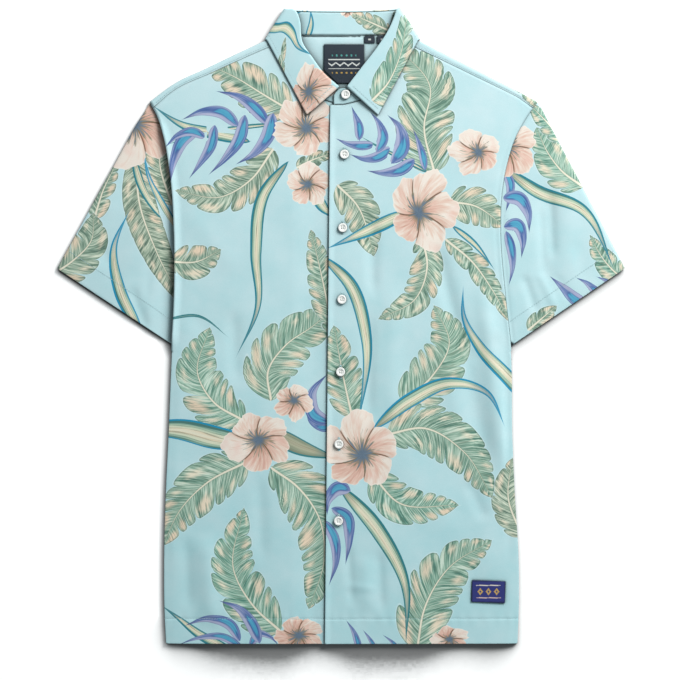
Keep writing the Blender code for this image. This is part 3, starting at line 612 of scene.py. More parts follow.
def sleeve_lines(side):
    """Plan grid of a sleeve from the armhole to the hem, top line first, and the top's outward."""
    sign = SIGN[side]
    centre, outward, _ = shoulder_turn(side)
    along = unit(centre[-1] - centre[-2])
    hem = SLEEVE_HEMS[side]
    outer = np.array([sign * hem.outer_x, hem.outer_y])
    inner = np.array([sign * hem.inner_x, hem.inner_y])
    heights = np.linspace(FRONT_YOKE_END_Y, SLEEVE_FOOT_Y[side], STEPS["sleeve_columns"])
    clear = SLEEVE_CLEAR[side]
    beside = plan(edge_x(side, heights) + sign * clear, heights)
    start = np.concatenate([[centre[-1] + along * clear], beside])
    run = unit(outer - start[0])
    top_outward = np.array([-run[1], run[0]]) * sign
    steps = np.linalg.norm(np.diff(start, axis=0), axis=1)
    share = np.concatenate([[0], np.cumsum(steps)]) / steps.sum()
    outer = outer - top_outward * ((FRONT_Z - BACK_Z + WALL) / 2)
    hem_line = blend(outer, inner, share)
    grid = blend(start, hem_line, np.linspace(0, 1, STEPS["sleeve_rows"] + 1))
    # The part that slips between the body's layers
    tuck = SLEEVE_TUCKS[side]
    drop = (HIDDEN_FOOT_Y - SLEEVE_FOOT_Y[side]) * np.clip((share[1:] - 0.9) / 0.1, 0, 1)
    inside = plan(edge_x(side, heights) - sign * tuck, heights + drop * (side == "left"))
    hidden = np.concatenate([[centre[-1] - along * tuck - outward[-1]], inside])
    return np.concatenate([blend(hidden, start, np.linspace(0, 1, 7))[:-1], grid]), top_outward


def sleeve_patches(side):
    """Flattened tube: front layer, underarm turn, back layer, top turn and the hem's return."""
    grid, top_outward = sleeve_lines(side)
    high, low = sleeve_levels(side, grid[..., 0], grid[..., 1])
    count = len(grid)
    under = np.broadcast_to([0.0, -1.0], (count, 2))
    over = np.broadcast_to(top_outward, (count, 2))
    front, back = raised(grid, high), raised(grid, low)
    lower = turn(grid[:, -1], under, low[:, -1], high[:, -1], STEPS["turn"])[::-1]
    upper = turn(grid[:, 0], over, low[:, 0], high[:, 0], STEPS["turn"])[::-1]
    upper_chart = unrolled(upper, grid[:, 0], over)
    around = np.linalg.norm(upper_chart[-1] - upper_chart[0], axis=-1).mean()
    inwards = ((grid - grid[:, :1]) * top_outward).sum(-1)[..., None]
    mirrored = grid - 2 * inwards * top_outward + around * top_outward
    patches = [Patch(front, grid), Patch(lower, unrolled(lower, grid[:, -1], under))]
    patches += [Patch(back, mirrored), Patch(upper, upper_chart)]
    hem = SLEEVE_HEMS[side]
    run = unit(np.array([SIGN[side] * (hem.outer_x - hem.inner_x), hem.outer_y - hem.inner_y]))
    out = np.array([run[1], -run[0]]) * SIGN[side]
    outward = np.broadcast_to(out, front[-1, :, :2].shape)
    width = SLEEVE_HEM_DEPTH - 2
    patches.append(returned(front[-1], outward, width, grid[-1], lambda x, y: sleeve_levels(side, x, y)[0]))
    # The back layer's return is made upside down, and turned over
    below = back[-1] * (1, 1, -1)
    below = returned(below, outward, width, mirrored[-1], lambda x, y: np.full_like(x, -BACK_Z))
    patches.append(Patch(below.points * (1, 1, -1), below.chart))
    return patches


def smoothed(rows, times=6):
    """Rows with each one drawn towards the mean of its neighbours, the ends kept."""
    for _ in range(times):
        rows = rows.copy()
        rows[1:-1] = (rows[:-2] + 2 * rows[1:-1] + rows[2:]) / 4
    return rows


def roll_line(side, share):
    """Crest of the collar's roll in plan, at the shares from the back of the neck."""
    u, y = (through(column(ROLLS, "share"), column(ROLLS, side + way), share) for way in ("_u", "_y"))
    return plan(COLLAR_X + SIGN[side] * u, y)


def collar_sections(side):
    """Sections of half the collar from the back of the neck to the closing.

    Each has the neck seam, the stand's top, the fall's free edge, the direction from the stand to
    the fall, and the fall's height above the stand, as in the part but in finer steps.
    """
    sign = SIGN[side]
    centre, outward, _ = shoulder_turn(side)
    seam_centre = centre[0] + (-sign * CURVED_GAP, CURVED_GAP)
    edge_centre = plan(COLLAR_X + sign * FALL_SIDE[0], FALL_SIDE[1])
    roll_side = roll_line(side, np.zeros(1))[0]
    axis = unit(edge_centre - roll_side)
    axis_out = np.array([-axis[1], axis[0]]) * sign
    top_half = (STAND_TOP_Z - NECK_Z) / 2
    lift_back = FALL_TOP_Z - STAND_TOP_Z
    edge_half = (FALL_EDGE_Z - FALL_BACK_Z) / 2
    top_centre = roll_side - axis_out * (top_half + lift_back + COLLAR_WALL / 2) + axis * ROLL_INSET
    edge_centre = edge_centre - axis_out * (edge_half + COLLAR_WALL / 2)

    # Back of the neck, from the middle outwards
    share = np.linspace(0, 1, STEPS["collar_back"] + 1)[:-1]
    ends = back_neck(2) + (0, CURVED_GAP)
    seam_end = ends[2] if side == "right" else ends[0]
    seam = raised(blend(ends[1], seam_end, share), NECK_Z)
    middle = np.array([COLLAR_X, ROLL_BACK_Y - ROLL_INSET])
    top = blend(middle, top_centre, share)
    top[:, 1] = middle[1] + share**2 * (top_centre[1] - middle[1])
    edge = blend(np.array([COLLAR_X, FALL_BACK_Y]), edge_centre, share)
    edge[:, 1] = FALL_BACK_Y + share**3 * (edge_centre[1] - FALL_BACK_Y)
    parts = [(seam, raised(top, NECK_Z), raised(edge, FALL_BACK_Z), np.tile(-UP, (len(share), 1)),
              np.full(len(share), lift_back))]

    # The side, where the collar turns over
    angle = np.linspace(0, math.pi, STEPS["collar_turn"] + 1)[:, None]
    way = np.concatenate([axis_out * np.sin(angle), -np.cos(angle)], axis=1)
    seam_way = np.concatenate([outward[0] * np.sin(angle), -np.cos(angle)], axis=1)
    seam = np.append(seam_centre, (NECK_Z + FRONT_Z) / 2) + seam_way * (FRONT_Z - NECK_Z) / 2
    top = np.append(top_centre, (NECK_Z + STAND_TOP_Z) / 2) + way * top_half
    edge = np.append(edge_centre, (FALL_BACK_Z + FALL_EDGE_Z) / 2) + way * edge_half
    parts.append((seam, top, edge, way, np.full(len(angle), lift_back)))

    # The front, down to the closing; its first ninth runs straight from the turn
    share = np.linspace(0, 1, STEPS["collar_front"] + 1)[1:]
    joint = np.clip(share * 9, 0, 1)[:, None]
    reach = np.maximum(share, 1 / 9)
    neck = neckline(side, (9 * reach - 1) / 8)
    inward = unit(np.array([COLLAR_X, NECK_POINT_Y]) - neck)
    seam_at = neck + inward * CURVED_GAP
    seam_z = front_level(side, seam_at[:, 0], seam_at[:, 1])
    roll = roll_line(side, reach)
    top_at = roll - unit(roll - seam_at) * ROLL_INSET
    top_z = STAND_TOP_Z + seam_z - FRONT_Z
    corner = plan(COLLAR_X + sign * FALL_POINT[0], FALL_POINT[1])
    seam = seam[-1] + joint * (raised(seam_at, seam_z) - seam[-1])
    top = top[-1] + joint * (raised(top_at, top_z) - top[-1])
    edge = raised(blend(edge_centre, corner, share), FALL_EDGE_Z)
    parts.append((seam, top, edge, np.tile(UP, (len(share), 1)), FALL_TOP_Z - top[:, 2]))
    seam, top, edge, normal, lift = (np.concatenate(values) for values in zip(*parts))
    return smoothed(seam), smoothed(top), edge, unit(smoothed(normal)), smoothed(lift)


def both_halves(left, right):
    """Left half reversed, then the right half, which share their first section."""
    return np.concatenate([left[:0:-1], right])


def collar_patch(points):
    """A collar piece, whose cloth places are the length round the neck from its middle, and the way
    across it."""
    along = np.linalg.norm(np.diff(points[0], axis=0), axis=-1)
    along = np.concatenate([[0], np.cumsum(along)])
    across = np.linalg.norm(np.diff(points, axis=0), axis=-1)
    across = np.concatenate([np.zeros((1, points.shape[1])), np.cumsum(across, axis=0)])
    return Patch(points, plan(np.broadcast_to(along - along[-1] / 2, across.shape), across))


def stand_grid():
    """Collar stand from the left end, round the back of the neck, to the right end."""
    halves = []
    for side in SIGN:
        seam, top, _, _, _ = collar_sections(side)
        base, rise = seam[-1], (STAND_TOP_Z - FRONT_Z) / (top[-1, 1] - seam[-1, 1])
        share = np.linspace(0, 1, STEPS["stand_end"] + 1)[1:]
        height = through(STAND_END_SHARES, (top[-1, 1] - base[1], *STAND_END_HEIGHTS), share)
        foot = raised(plan(COLLAR_X - SIGN[side] * STAND_LAP * share, base[1]), base[2])
        head = foot + np.stack([0 * height, height, rise * height], axis=-1)
        halves.append((np.concatenate([seam, foot]), np.concatenate([top, head])))
    seam, top = (both_halves(left, right) for left, right in zip(*halves))
    return blend(seam, top, np.linspace(0, 1, STEPS["stand_rows"] + 1))


def fall_half(side, shares):
    """Half of the fall: a half-circle roll from the stand's top, then shares of the way out."""
    seam, top, edge, normal, lift = collar_sections(side)
    along = unit(np.gradient(top, axis=0))
    upwards = top - seam
    upwards = unit(upwards - along * (upwards * along).sum(axis=1, keepdims=True))
    facing = np.cross(along, upwards)
    normal = facing * np.sign((facing * normal).sum(axis=1, keepdims=True))
    start = top + upwards * ROLL_START
    angle = np.linspace(0, math.pi, STEPS["roll"] + 1)[:, None, None]
    rolled = start + (normal * (1 - np.cos(angle)) + upwards * np.sin(angle)) * lift[:, None] / 2
    way = np.asarray(shares)[:, None, None]
    bulge = FALL_BULGE * np.sin(math.pi * way) * np.maximum(normal[:, 2:], 0)
    out = rolled[-1] + (edge - rolled[-1]) * way + normal * bulge
    return rolled, out


def fall_grid():
    """The whole fall from the left closing, round the back, to the right closing."""
    halves = []
    for side in SIGN:
        halves.append(np.concatenate(fall_half(side, np.linspace(0, 1, STEPS["fall_rows"] + 1)[1:])))
    return np.concatenate([halves[0][:, :0:-1], halves[1]], axis=1)


# ---------------------------------------------------------------------------------------------
# The print's chart: squared paper of 1.225 mm a square, x to the right and y down, on which the
# shirt's middle is at (341, 326.5). Each screen holds motifs that keep clear of each other. A leaf,
# blade or bract is its half width, its seed, and x and y of its spine's points from base to tip. A
# flower is its centre, its radius, its height for its width, its turn in degrees, the lean of its
# middle and its seed. On the collar, x is the length round the neck and y the way down the fall.

CHART_SQUARE = 1.225
CHART_CENTRE = np.array([341.0, 326.5])
SCREENS = ("leaf_low", "leaf_high", "blade", "bract_low", "bract_high", "flower_low", "flower_high")
CLEAR = 4.0
BARE = -20.0
SPINE_STEPS = 40
LOBE_WIDTH = 19.0
BETWEEN = 5.0
STRIP_FREE = 92.0

# Half width along a spine, which is 1 at its widest: the rise, times the share from the base to the
# power of foot, times the share left to the tip to the power of tip
Outline = namedtuple("Outline", "rise foot tip")
OUTLINES = {
    "leaf": Outline(2.118, 0.42, 0.72),
    "blade": Outline(3.393, 0.6, 1.4),
    "bract": Outline(3.293, 0.55, 1.5),
}

Motif = namedtuple("Motif", "screen half seed spine")
Flower = namedtuple("Flower", "screen x y radius height turn lean_x lean_y seed")

PRINT = {
    "front_left": {
        "leaf_low": (
            (23, 14, 292, 112, 262, 94, 236, 78, 205, 64), (18, 23, 172, 262, 196, 262, 221, 250),
            (27, 76, 271, 399, 268, 372, 285, 346, 313, 326, 337, 306),
            (25, 58, 243, 420, 214, 402, 198, 374, 210, 328),
            (25, 66, 246, 462, 208, 482, 181, 509, 163, 545),
            (25, 29, 280, 630, 254, 606, 234, 570, 244, 508),
        ),
        "leaf_high": (
            (20, 42, 273, 150, 251, 180, 222, 197, 176, 191), (16, 35, 333, 332, 323, 282, 311, 230),
            (29, 17, 272, 468, 298, 487, 320, 520, 324, 560, 309, 608),
            (9, 31, 297, 168, 313, 160, 334, 153),
        ),
        "blade": (
            (6, 12, 250, 142, 214, 134, 184, 126, 150, 104),
            (6.5, 42, 288, 162, 264, 194, 256, 252, 258, 306, 234, 362),
            (6, 24, 315, 194, 322, 206, 336, 220), (1.7, 80, 164, 320, 198, 316, 232, 340),
            (12, 49, 252, 443, 214, 437, 186, 430, 100, 434), (9, 130, 268, 430, 300, 447, 345, 460),
            (5, 51, 236, 652, 200, 634, 178, 617, 158, 602),
            (2.5, 40, 280, 124, 240, 128, 200, 134, 160, 148),
        ),
        "bract_low": (
            (6.4, 14, 245, 116, 240, 138, 226, 158, 207, 177),
            (6.4, 16, 198, 132, 184, 140, 175, 158, 170, 188),
            (6.4, 17, 268, 124, 256, 110, 240, 98, 214, 91),
            (4.8, 35, 338, 424, 322, 427, 311, 421, 306, 406),
            (5.6, 56, 240, 640, 230, 624, 210, 618, 182, 626),
            (4, 57, 250, 646, 260, 633, 270, 636, 280, 646),
        ),
        "bract_high": (
            (7.2, 13, 273, 114, 268, 136, 256, 152, 234, 166),
            (5.6, 15, 215, 126, 211, 146, 200, 164, 188, 181),
            (6.4, 18, 238, 126, 222, 113, 204, 112, 180, 121),
            (4.8, 19, 206, 138, 192, 132, 178, 136, 164, 150),
            (7.2, 34, 330, 422, 314, 414, 312, 394, 329, 372),
            (6.4, 55, 260, 642, 251, 622, 240, 609, 217, 599),
            (4, 58, 244, 648, 222, 636, 200, 637, 176, 645),
        ),
        "flower_low": (
            (304, 126, 32, 0.98, 20, 0.05, -0.12, 16), (259, 443, 35, 0.9, 32, 0.05, 0.1, 39),
            (299, 637, 27, 0.85, 5, 0.0, 0.1, 51),
        ),
        "flower_high": ((309, 185, 23, 1.0, 60, 0.0, 0.05, 47), (293, 403, 21, 0.95, 10, 0.1, 0.15, 28),),
    },
    "front_right": {
        "leaf_low": (
            (29, 65, 434, 172, 424, 128, 430, 88, 396, 46), (19, 32, 338, 186, 356, 204, 374, 256),
            (20, 43, 450, 202, 474, 206, 504, 226), (26, 76, 403, 402, 432, 376, 449, 344, 434, 306),
            (20, 59, 372, 474, 398, 502, 458, 505), (18, 21, 522, 536, 508, 498, 512, 458),
            (28, 97, 417, 648, 425, 606, 448, 568, 491, 540),
        ),
        "leaf_high": (
            (17, 64, 422, 238, 427, 266, 416, 298, 379, 319),
            (12, 15, 446, 240, 472, 262, 492, 290, 510, 322), (20, 17, 352, 416, 344, 380, 334, 326),
            (26, 46, 388, 434, 424, 428, 464, 452, 492, 497),
        ),
        "blade": (
            (7, 67, 408, 212, 368, 231, 324, 250), (3.5, 14, 452, 226, 474, 244, 496, 272),
            (7.5, 29, 540, 414, 508, 378, 480, 348, 464, 318, 463, 282),
            (7, 45, 322, 256, 350, 284, 366, 336, 358, 430),
            (7.5, 79, 374, 428, 410, 400, 450, 383, 486, 392, 506, 430),
            (8, 10, 340, 486, 378, 530, 404, 580, 406, 648),
            (2.5, 30, 430, 174, 404, 160, 380, 148, 356, 134),
        ),
        "bract_low": (
            (4.8, 21, 359, 140, 359, 128, 355, 116, 351, 105),
            (8, 24, 392, 163, 402, 146, 400, 129, 386, 114),
            (5.6, 25, 391, 148, 378, 157, 364, 159, 348, 154),
            (6.4, 53, 332, 508, 346, 516, 349, 538, 345, 567),
            (3.6, 73, 360, 652, 357, 640, 353, 630, 345, 618),
            (2.4, 74, 376, 650, 372, 642, 368, 636, 362, 628),
            (2, 75, 400, 650, 394, 643, 388, 638, 381, 633),
        ),
        "bract_high": (
            (4.8, 22, 374, 145, 361, 146, 348, 144, 334, 138),
            (5.6, 23, 377, 152, 383, 138, 379, 124, 369, 111),
            (6.4, 26, 414, 160, 400, 170, 384, 173, 365, 171),
            (4, 27, 425, 170, 422, 154, 418, 142, 412, 127),
            (7.2, 52, 350, 490, 338, 488, 329, 498, 327, 516),
            (5.6, 54, 324, 520, 334, 538, 336, 560, 328, 588),
        ),
        "flower_low": ((424, 210, 36, 1.18, 100, -0.05, 0.2, 33), (450, 640, 20, 0.8, 20, 0.0, 0.1, 26),),
        "flower_high": (
            (474, 153, 27, 0.9, 40, 0.15, -0.1, 84), (359, 450, 41, 0.98, 75, -0.1, -0.12, 65),
        ),
    },
    "sleeve_left": {
        "leaf_low": (
            (15, 41, 172, 204, 160, 164, 166, 118), (12, 83, 95, 218, 104, 190, 118, 162),
            (22, 24, 128, 96, 96, 88, 60, 108, 20, 150),
        ),
        "leaf_high": (
            (22, 62, 50, 276, 72, 262, 92, 240, 94, 214), (24, 35, 60, 60, 40, 96, 8, 120, -30, 128),
            (17, 140, 136, 158, 140, 204, 156, 250, 186, 308),
        ),
        "blade": (
            (4.5, 41, 133, 156, 142, 186, 156, 210, 182, 236),
            (4.5, 69, 186, 246, 164, 208, 150, 180, 143, 146),
            (6.5, 69, 142, 334, 120, 290, 114, 250, 131, 208),
        ),
        "bract_low": ((7.2, 19, 80, 30, 64, 44, 44, 50, 20, 44),),
        "flower_low": ((136, 128, 43, 1.0, 25, 0.0, 0.1, 22), (18, 196, 30, 0.9, 50, 0.1, 0.0, 44),),
        "flower_high": ((92, 66, 26, 1.0, 80, 0.0, 0.1, 66),),
    },
    "sleeve_right": {
        "leaf_low": (
            (19, 88, 581, 186, 562, 172, 548, 154, 536, 128),
            (13, 18, 634, 286, 612, 270, 598, 252, 590, 236),
            (24, 54, 600, 96, 636, 112, 660, 150, 668, 200),
        ),
        "leaf_high": (
            (11, 59, 562, 140, 546, 122, 529, 105), (10, 93, 528, 330, 542, 318, 556, 306),
            (24, 75, 640, 70, 670, 50, 706, 66, 730, 110),
        ),
        "blade": ((7, 42, 506, 170, 536, 191, 582, 210, 615, 272),),
        "bract_low": (
            (4.8, 36, 505, 172, 510, 184, 509, 198, 505, 214),
            (6.4, 38, 504, 227, 517, 225, 522, 238, 521, 260),
            (6.5, 58, 588, 306, 575, 299, 563, 288, 548, 275),
            (4.5, 59, 606, 298, 594, 290, 586, 283, 574, 277),
            (3, 60, 620, 290, 612, 284, 604, 280, 594, 276),
        ),
        "bract_high": (
            (7.2, 37, 503, 198, 519, 199, 527, 212, 529, 235),
            (4.8, 39, 506, 232, 511, 250, 512, 268, 508, 288),
            (2.4, 61, 612, 292, 594, 298, 576, 304, 556, 314),
        ),
        "flower_low": ((506, 150, 33, 1.0, 10, 0.0, 0.05, 69), (636, 214, 30, 0.9, 70, -0.1, 0.1, 81),),
        "flower_high": ((612, 88, 26, 0.9, 15, 0.0, -0.1, 42),),
    },
    "collar": {
        "leaf_low": (
            (19, 38, 486, 296, 450, 292, 420, 300, 392, 318), (10, 72, 392, 324, 374, 315, 350, 305),
        ),
        "leaf_high": ((9, 44, 236, 276, 258, 286, 270, 300),),
        "blade": (
            (6, 55, 304, 294, 280, 304, 248, 317, 222, 327), (3.5, 36, 306, 332, 308, 315, 304, 298),
        ),
        "flower_low": ((184, 280, 14, 0.9, 40, 0.0, 0.1, 41), (346, 302, 8, 1.0, 60, 0.0, -0.1, 71),),
        "flower_high": ((203, 303, 28, 1.0, 15, 0.1, 0.1, 29),),
    },
}

# Groups of the print that fill the hidden sides: which panel's motifs, which box of them, and
# where their middle goes
Group = namedtuple("Group", "panel x y reach to_x to_y turn")
BACK_GROUPS = (
    Group("front_right", 400, 450, 100, 250, 470, 0),
    Group("front_left", 240, 450, 95, 440, 470, 25),
    Group("front_right", 420, 190, 85, 230, 210, -30),
    Group("front_left", 270, 150, 90, 400, 200, 160),
    Group("front_left", 270, 330, 62, 330, 330, 40),
    Group("front_left", 250, 610, 80, 210, 610, 20),
    Group("front_right", 400, 600, 80, 400, 620, -15),
    Group("front_right", 400, 450, 100, 480, 320, 130),
    Group("front_left", 270, 150, 90, 300, 80, 10),
    Group("front_right", 420, 190, 85, 470, 90, 60),
    Group("front_left", 240, 450, 95, 180, 350, 190),
)


def on_cloth(points):
    """Chart squares as millimetres on the cloth."""
    points = np.asarray(points, float).reshape(-1, 2)
    return (points - CHART_CENTRE) * (CHART_SQUARE, -CHART_SQUARE)


def spun(points, degrees):
    """Plan points turned about the origin."""
    c, s = math.cos(math.radians(degrees)), math.sin(math.radians(degrees))
    return points @ np.array([[c, s], [-s, c]])


def motifs(panel):
    """A panel's motifs from its rows of numbers, screen by screen."""
    made = []
    for screen, rows in PRINT[panel].items():
        for row in rows:
            if screen.startswith("flower"):
                made.append(Flower(screen, *row))
            else:
                made.append(Motif(screen, *row[:2], tuple(zip(row[2::2], row[3::2]))))
    return made


def moved(rows, group):
    """Rows whose middle is in the group's reach, turned about its centre and moved with it."""
    source = np.array([group.x, group.y], float)
    made = []
    for row in rows:
        is_flower = isinstance(row, Flower)
        spine = np.array([[row.x, row.y]] if is_flower else row.spine, float)
        if np.linalg.norm(spine.mean(axis=0) - source) > group.reach:
            continue
        spine = spun(spine - source, group.turn) + (group.to_x, group.to_y)
        if is_flower:
            made.append(row._replace(x=spine[0, 0], y=spine[0, 1], turn=row.turn - group.turn))
        else:
            made.append(row._replace(spine=spine))
    return made


def highest(row):
    """A motif's least way down the chart."""
    return row.y - row.radius if isinstance(row, Flower) else min(y for _, y in row.spine)


def spine_places(chart, spine):
    """Share along the spine's curve, and distance to its left (+) or right, of each cloth place."""
    knots = on_cloth(spine)
    way = np.concatenate([[0], np.cumsum(np.linalg.norm(np.diff(knots, axis=0), axis=1))])
    at = np.linspace(0, way[-1], SPINE_STEPS + 1)
    curve = plan(through(way, knots[:, 0], at), through(way, knots[:, 1], at))
    start, run = curve[:-1], np.diff(curve, axis=0)
    length = np.linalg.norm(run, axis=1)
    rel = chart[:, None] - start[None]
    t = np.clip((rel * run).sum(-1) / length**2, 0, 1)
    off = rel - t[..., None] * run
    distance = np.linalg.norm(off, axis=-1)
    k = distance.argmin(axis=1)
    row = np.arange(len(chart))
    side = np.sign(run[k, 0] * off[row, k, 1] - run[k, 1] * off[row, k, 0])
    passed = np.concatenate([[0], np.cumsum(length)])
    return (passed[k] + t[row, k] * length[k]) / passed[-1], side * distance[row, k], passed[-1]


def motif_places(chart, row):
    """Which cloth places a motif reaches, its own coordinates and clearance there, and its size.

    A spine motif has the share along its spine and the way across it in half widths, which is
    below 0 on the hollow side of its bend. A flower has its unit disc, turned, squashed and leaned.
    Clearance is the millimetres inside its outline and a margin.
    """
    if isinstance(row, Flower):
        centre = on_cloth((row.x, row.y))[0]
        radius = row.radius * CHART_SQUARE
        reach = radius * max(1, row.height) * 1.3 + 3 * CLEAR
        near = np.flatnonzero((np.abs(chart - centre) < reach).all(axis=1))
        disc = spun((chart[near] - centre) / (radius, radius * row.height), -row.turn)
        away = 1 - np.hypot(*disc.T)
        x, y = (disc - np.clip(away, 0, 1)[:, None] * (row.lean_x, row.lean_y)).T
        return near, (x, y, away * radius + 0.1 * radius + CLEAR), (radius, radius, row.seed)
    knots = on_cloth(row.spine)
    half = row.half * CHART_SQUARE
    margin = 1.3 * half + 3 * CLEAR
    low, high = knots.min(axis=0) - margin, knots.max(axis=0) + margin
    near = np.flatnonzero(((chart > low) & (chart < high)).all(axis=1))
    if not len(near):
        return near, (0.0, 0.0, 0.0), (0.0, 0.0, 0.0)
    share, across, length = spine_places(chart[near], row.spine)
    outline = OUTLINES[row.screen.split("_")[0]]
    width = half * outline.rise * share**outline.foot * (1 - share) ** outline.tip
    lobes = round(length / (LOBE_WIDTH + 0.18 * half))
    clear = width - np.abs(across) + CLEAR
    start, end = knots[1] - knots[0], knots[-1] - knots[-2]
    hollow = -1 if start[0] * end[1] > start[1] * end[0] else 1
    return near, (share, across / half * hollow, clear), (lobes, half, row.seed)


def paint(mesh, chart, rows):
    """Writes each screen's places and sizes to the mesh, as vertex attributes."""
    for screen in SCREENS:
        place = np.zeros((len(chart), 3))
        size = np.zeros((len(chart), 3))
        first = np.full(len(chart), BARE)
        second = first.copy()
        for row in rows:
            if row.screen != screen:
                continue
            near, values, sizes = motif_places(chart, row)
            if not len(near):
                continue
            values = np.stack(values, axis=-1)
            better = values[:, 2] > first[near]
            second[near] = np.where(better, first[near], np.maximum(second[near], values[:, 2]))
            first[near[better]] = values[better, 2]
            place[near[better]] = values[better]
            size[near[better]] = sizes
        # Where a neighbour comes near, both give way, so that no cell mixes two motifs
        place[:, 2] = first - np.maximum(second + BETWEEN, 0)
        for name, data in ((screen, place), (screen + "_size", size)):
            layer = mesh.attributes.new(name, "FLOAT_VECTOR", "POINT")
            layer.data.foreach_set("vector", data.astype(np.float32).ravel())


def grid_faces(rows, columns, first=0):
    """Four corners of each cell of a grid of points, row after row."""
    corner = first + np.arange(rows - 1)[:, None] * columns + np.arange(columns - 1)
    return np.stack([corner, corner + 1, corner + columns + 1, corner + columns], axis=-1).reshape(-1, 4)


def joined_mesh(name, patches, probe, up=1):
    """Mesh of the patches, joined where they meet, whose faces look up (1) or down (-1) at the probe,
    a place in millimetres. The cloth places go along as the attribute "cloth"."""
    points = np.concatenate([patch.points.reshape(-1, 3) for patch in patches]) * MM
    chart = np.concatenate([patch.chart.reshape(-1, 2) for patch in patches])
    faces, first = [], 0
    for patch in patches:
        rows, columns = patch.points.shape[:2]
        faces.append(grid_faces(rows, columns, first))
        first += rows * columns
    mesh = bpy.data.meshes.new(name)
    mesh.from_pydata(points, [], np.concatenate(faces))
    cloth = mesh.attributes.new("cloth", "FLOAT_VECTOR", "POINT")
    cloth.data.foreach_set("vector", raised(chart, 0.0).astype(np.float32).ravel())
    shape = bmesh.new()
    shape.from_mesh(mesh)
    bmesh.ops.remove_doubles(shape, verts=shape.verts, dist=0.002 * MM)
    bmesh.ops.recalc_face_normals(shape, faces=shape.faces)
    shape.to_mesh(mesh)
    shape.free()
    centres = np.empty(len(mesh.polygons) * 3, np.float32)
    mesh.polygons.foreach_get("center", centres)
    away = np.linalg.norm(centres.reshape(-1, 3) - np.array(probe) * MM, axis=1)
    if mesh.polygons[int(away.argmin())].normal.z * up < 0:
        mesh.flip_normals()
    mesh.shade_smooth()
    return mesh


def read_cloth(mesh):
    """The cloth places of a mesh's vertices, as they are after joining."""
    chart = np.empty(len(mesh.vertices) * 3, np.float32)
    mesh.attributes["cloth"].data.foreach_get("vector", chart)
    return chart.reshape(-1, 3)[:, :2].astype(float)


def show(name, mesh, finishes, node=()):
    """The mesh as a piece of the shirt, in place of its nodes."""
    piece = bpy.data.objects.new(name, mesh)
    bpy.context.scene.collection.objects.link(piece)
    for finish in finishes:
        mesh.materials.append(finish)
    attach(piece, "root")
    if node:
        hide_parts(*node)
    return piece


def walled(piece, wall, inner=0):
    """Gives a piece its wall, half on each side of its surface, with an inner finish by number."""
    cloth = piece.modifiers.new("Wall", "SOLIDIFY")
    cloth.thickness = wall * MM
    cloth.offset = 0.0
    cloth.material_offset = inner
    return piece


def add_cloth(name, patches, probe, rows, wall=CLOTH, finishes=None, up=1):
    """A cloth piece: its joined surface, the print and a wall on the middle surface."""
    finishes = finishes or [OUTER, INNER]
    mesh = joined_mesh(name, patches, probe, up)
    paint(mesh, read_cloth(mesh), rows)
    return walled(show(name, mesh, finishes, [name.lower()]), wall, len(finishes) - 1)


# ---------------------------------------------------------------------------------------------
# Materials

# Millimetres: the soft edge of a printed shape, and the threads of the cloth and of the labels,
# drawn at twice their real pitch of 0.4 and 0.3 mm, or they wouldn't show
EDGE_SOFT = 0.35
COTTON_WEAVE = 0.9
LABEL_WEAVE = 0.6


def tint(code):
    """Linear colour of an sRGB hex value."""
    values = np.array([int(code[i : i + 2], 16) for i in (1, 3, 5)]) / 255
    linear = np.where(values <= 0.04045, values / 12.92, ((values + 0.055) / 1.055) ** 2.4)
    return (*linear.tolist(), 1.0)


def feed(made, sockets):
    """Gives a node's sockets their values: a number, an sRGB hex colour, a socket, or a node, which
    stands for its first output."""
    for key, value in sockets.items():
        if isinstance(value, bpy.types.Node):
            value = value.outputs[0]
        if isinstance(value, bpy.types.NodeSocket):
            made.id_data.links.new(value, made.inputs[key])
        elif value is not None:
            made.inputs[key].default_value = tint(value) if isinstance(value, str) else value


def add(tree, kind, *values, inputs=(), **settings):
    """Adds one shader node: values feed its inputs in order, inputs by name, settings are its own.

    The kind may end in a dot and the node's operation.
    """
    kind, _, operation = kind.partition(".")
    made = tree.nodes.new("ShaderNode" + kind)
    if operation:
        made.operation = operation
    for name, value in settings.items():
        setattr(made, name, value)
    feed(made, {**dict(enumerate(values)), **dict(inputs)})
    return made


def set_stops(ramp, stops):
    """Gives a colour ramp its stops: (place, sRGB hex)."""
    elements = ramp.color_ramp.elements
    while len(elements) < len(stops):
        elements.new(0.5)
    for element, (place, code) in zip(elements, stops):
        element.position = place
        element.color = tint(code)
    return ramp


def new_finish(name):
    """Empty material with the adding function for its nodes, and its shader."""
    finish = bpy.data.materials.new(name)
    finish.use_nodes = True
    return finish, partial(add, finish.node_tree), finish.node_tree.nodes["Principled BSDF"]


def layered(node, colour, layers):
    """A colour with layers painted over it: each where it lies, how strong it is, and its colour."""
    for share, strength, paint_now in layers:
        if strength != 1:
            share = node("Math.MULTIPLY", share, strength)
        colour = node("MixRGB", share, colour, paint_now)
    return colour


def plain_weave(node, cloth, pitch):
    """Warp and weft: the product of a sine across and a sine along the cloth."""
    waves = []
    for way in list(node("SeparateXYZ", cloth).outputs)[:2]:
        waves.append(node("Math.SINE", node("Math.MULTIPLY", way, 2 * math.pi / pitch)))
    return node("Math.MULTIPLY", *waves)


def screen_places(node, screen):
    """The three coordinates and the three sizes of a screen's motifs."""
    both = []
    for name in (screen, screen + "_size"):
        vector = node("Attribute", attribute_name=name).outputs["Vector"]
        both += list(node("SeparateXYZ", vector).outputs)
    both[5] = node("Math.ROUND", both[5])
    return both


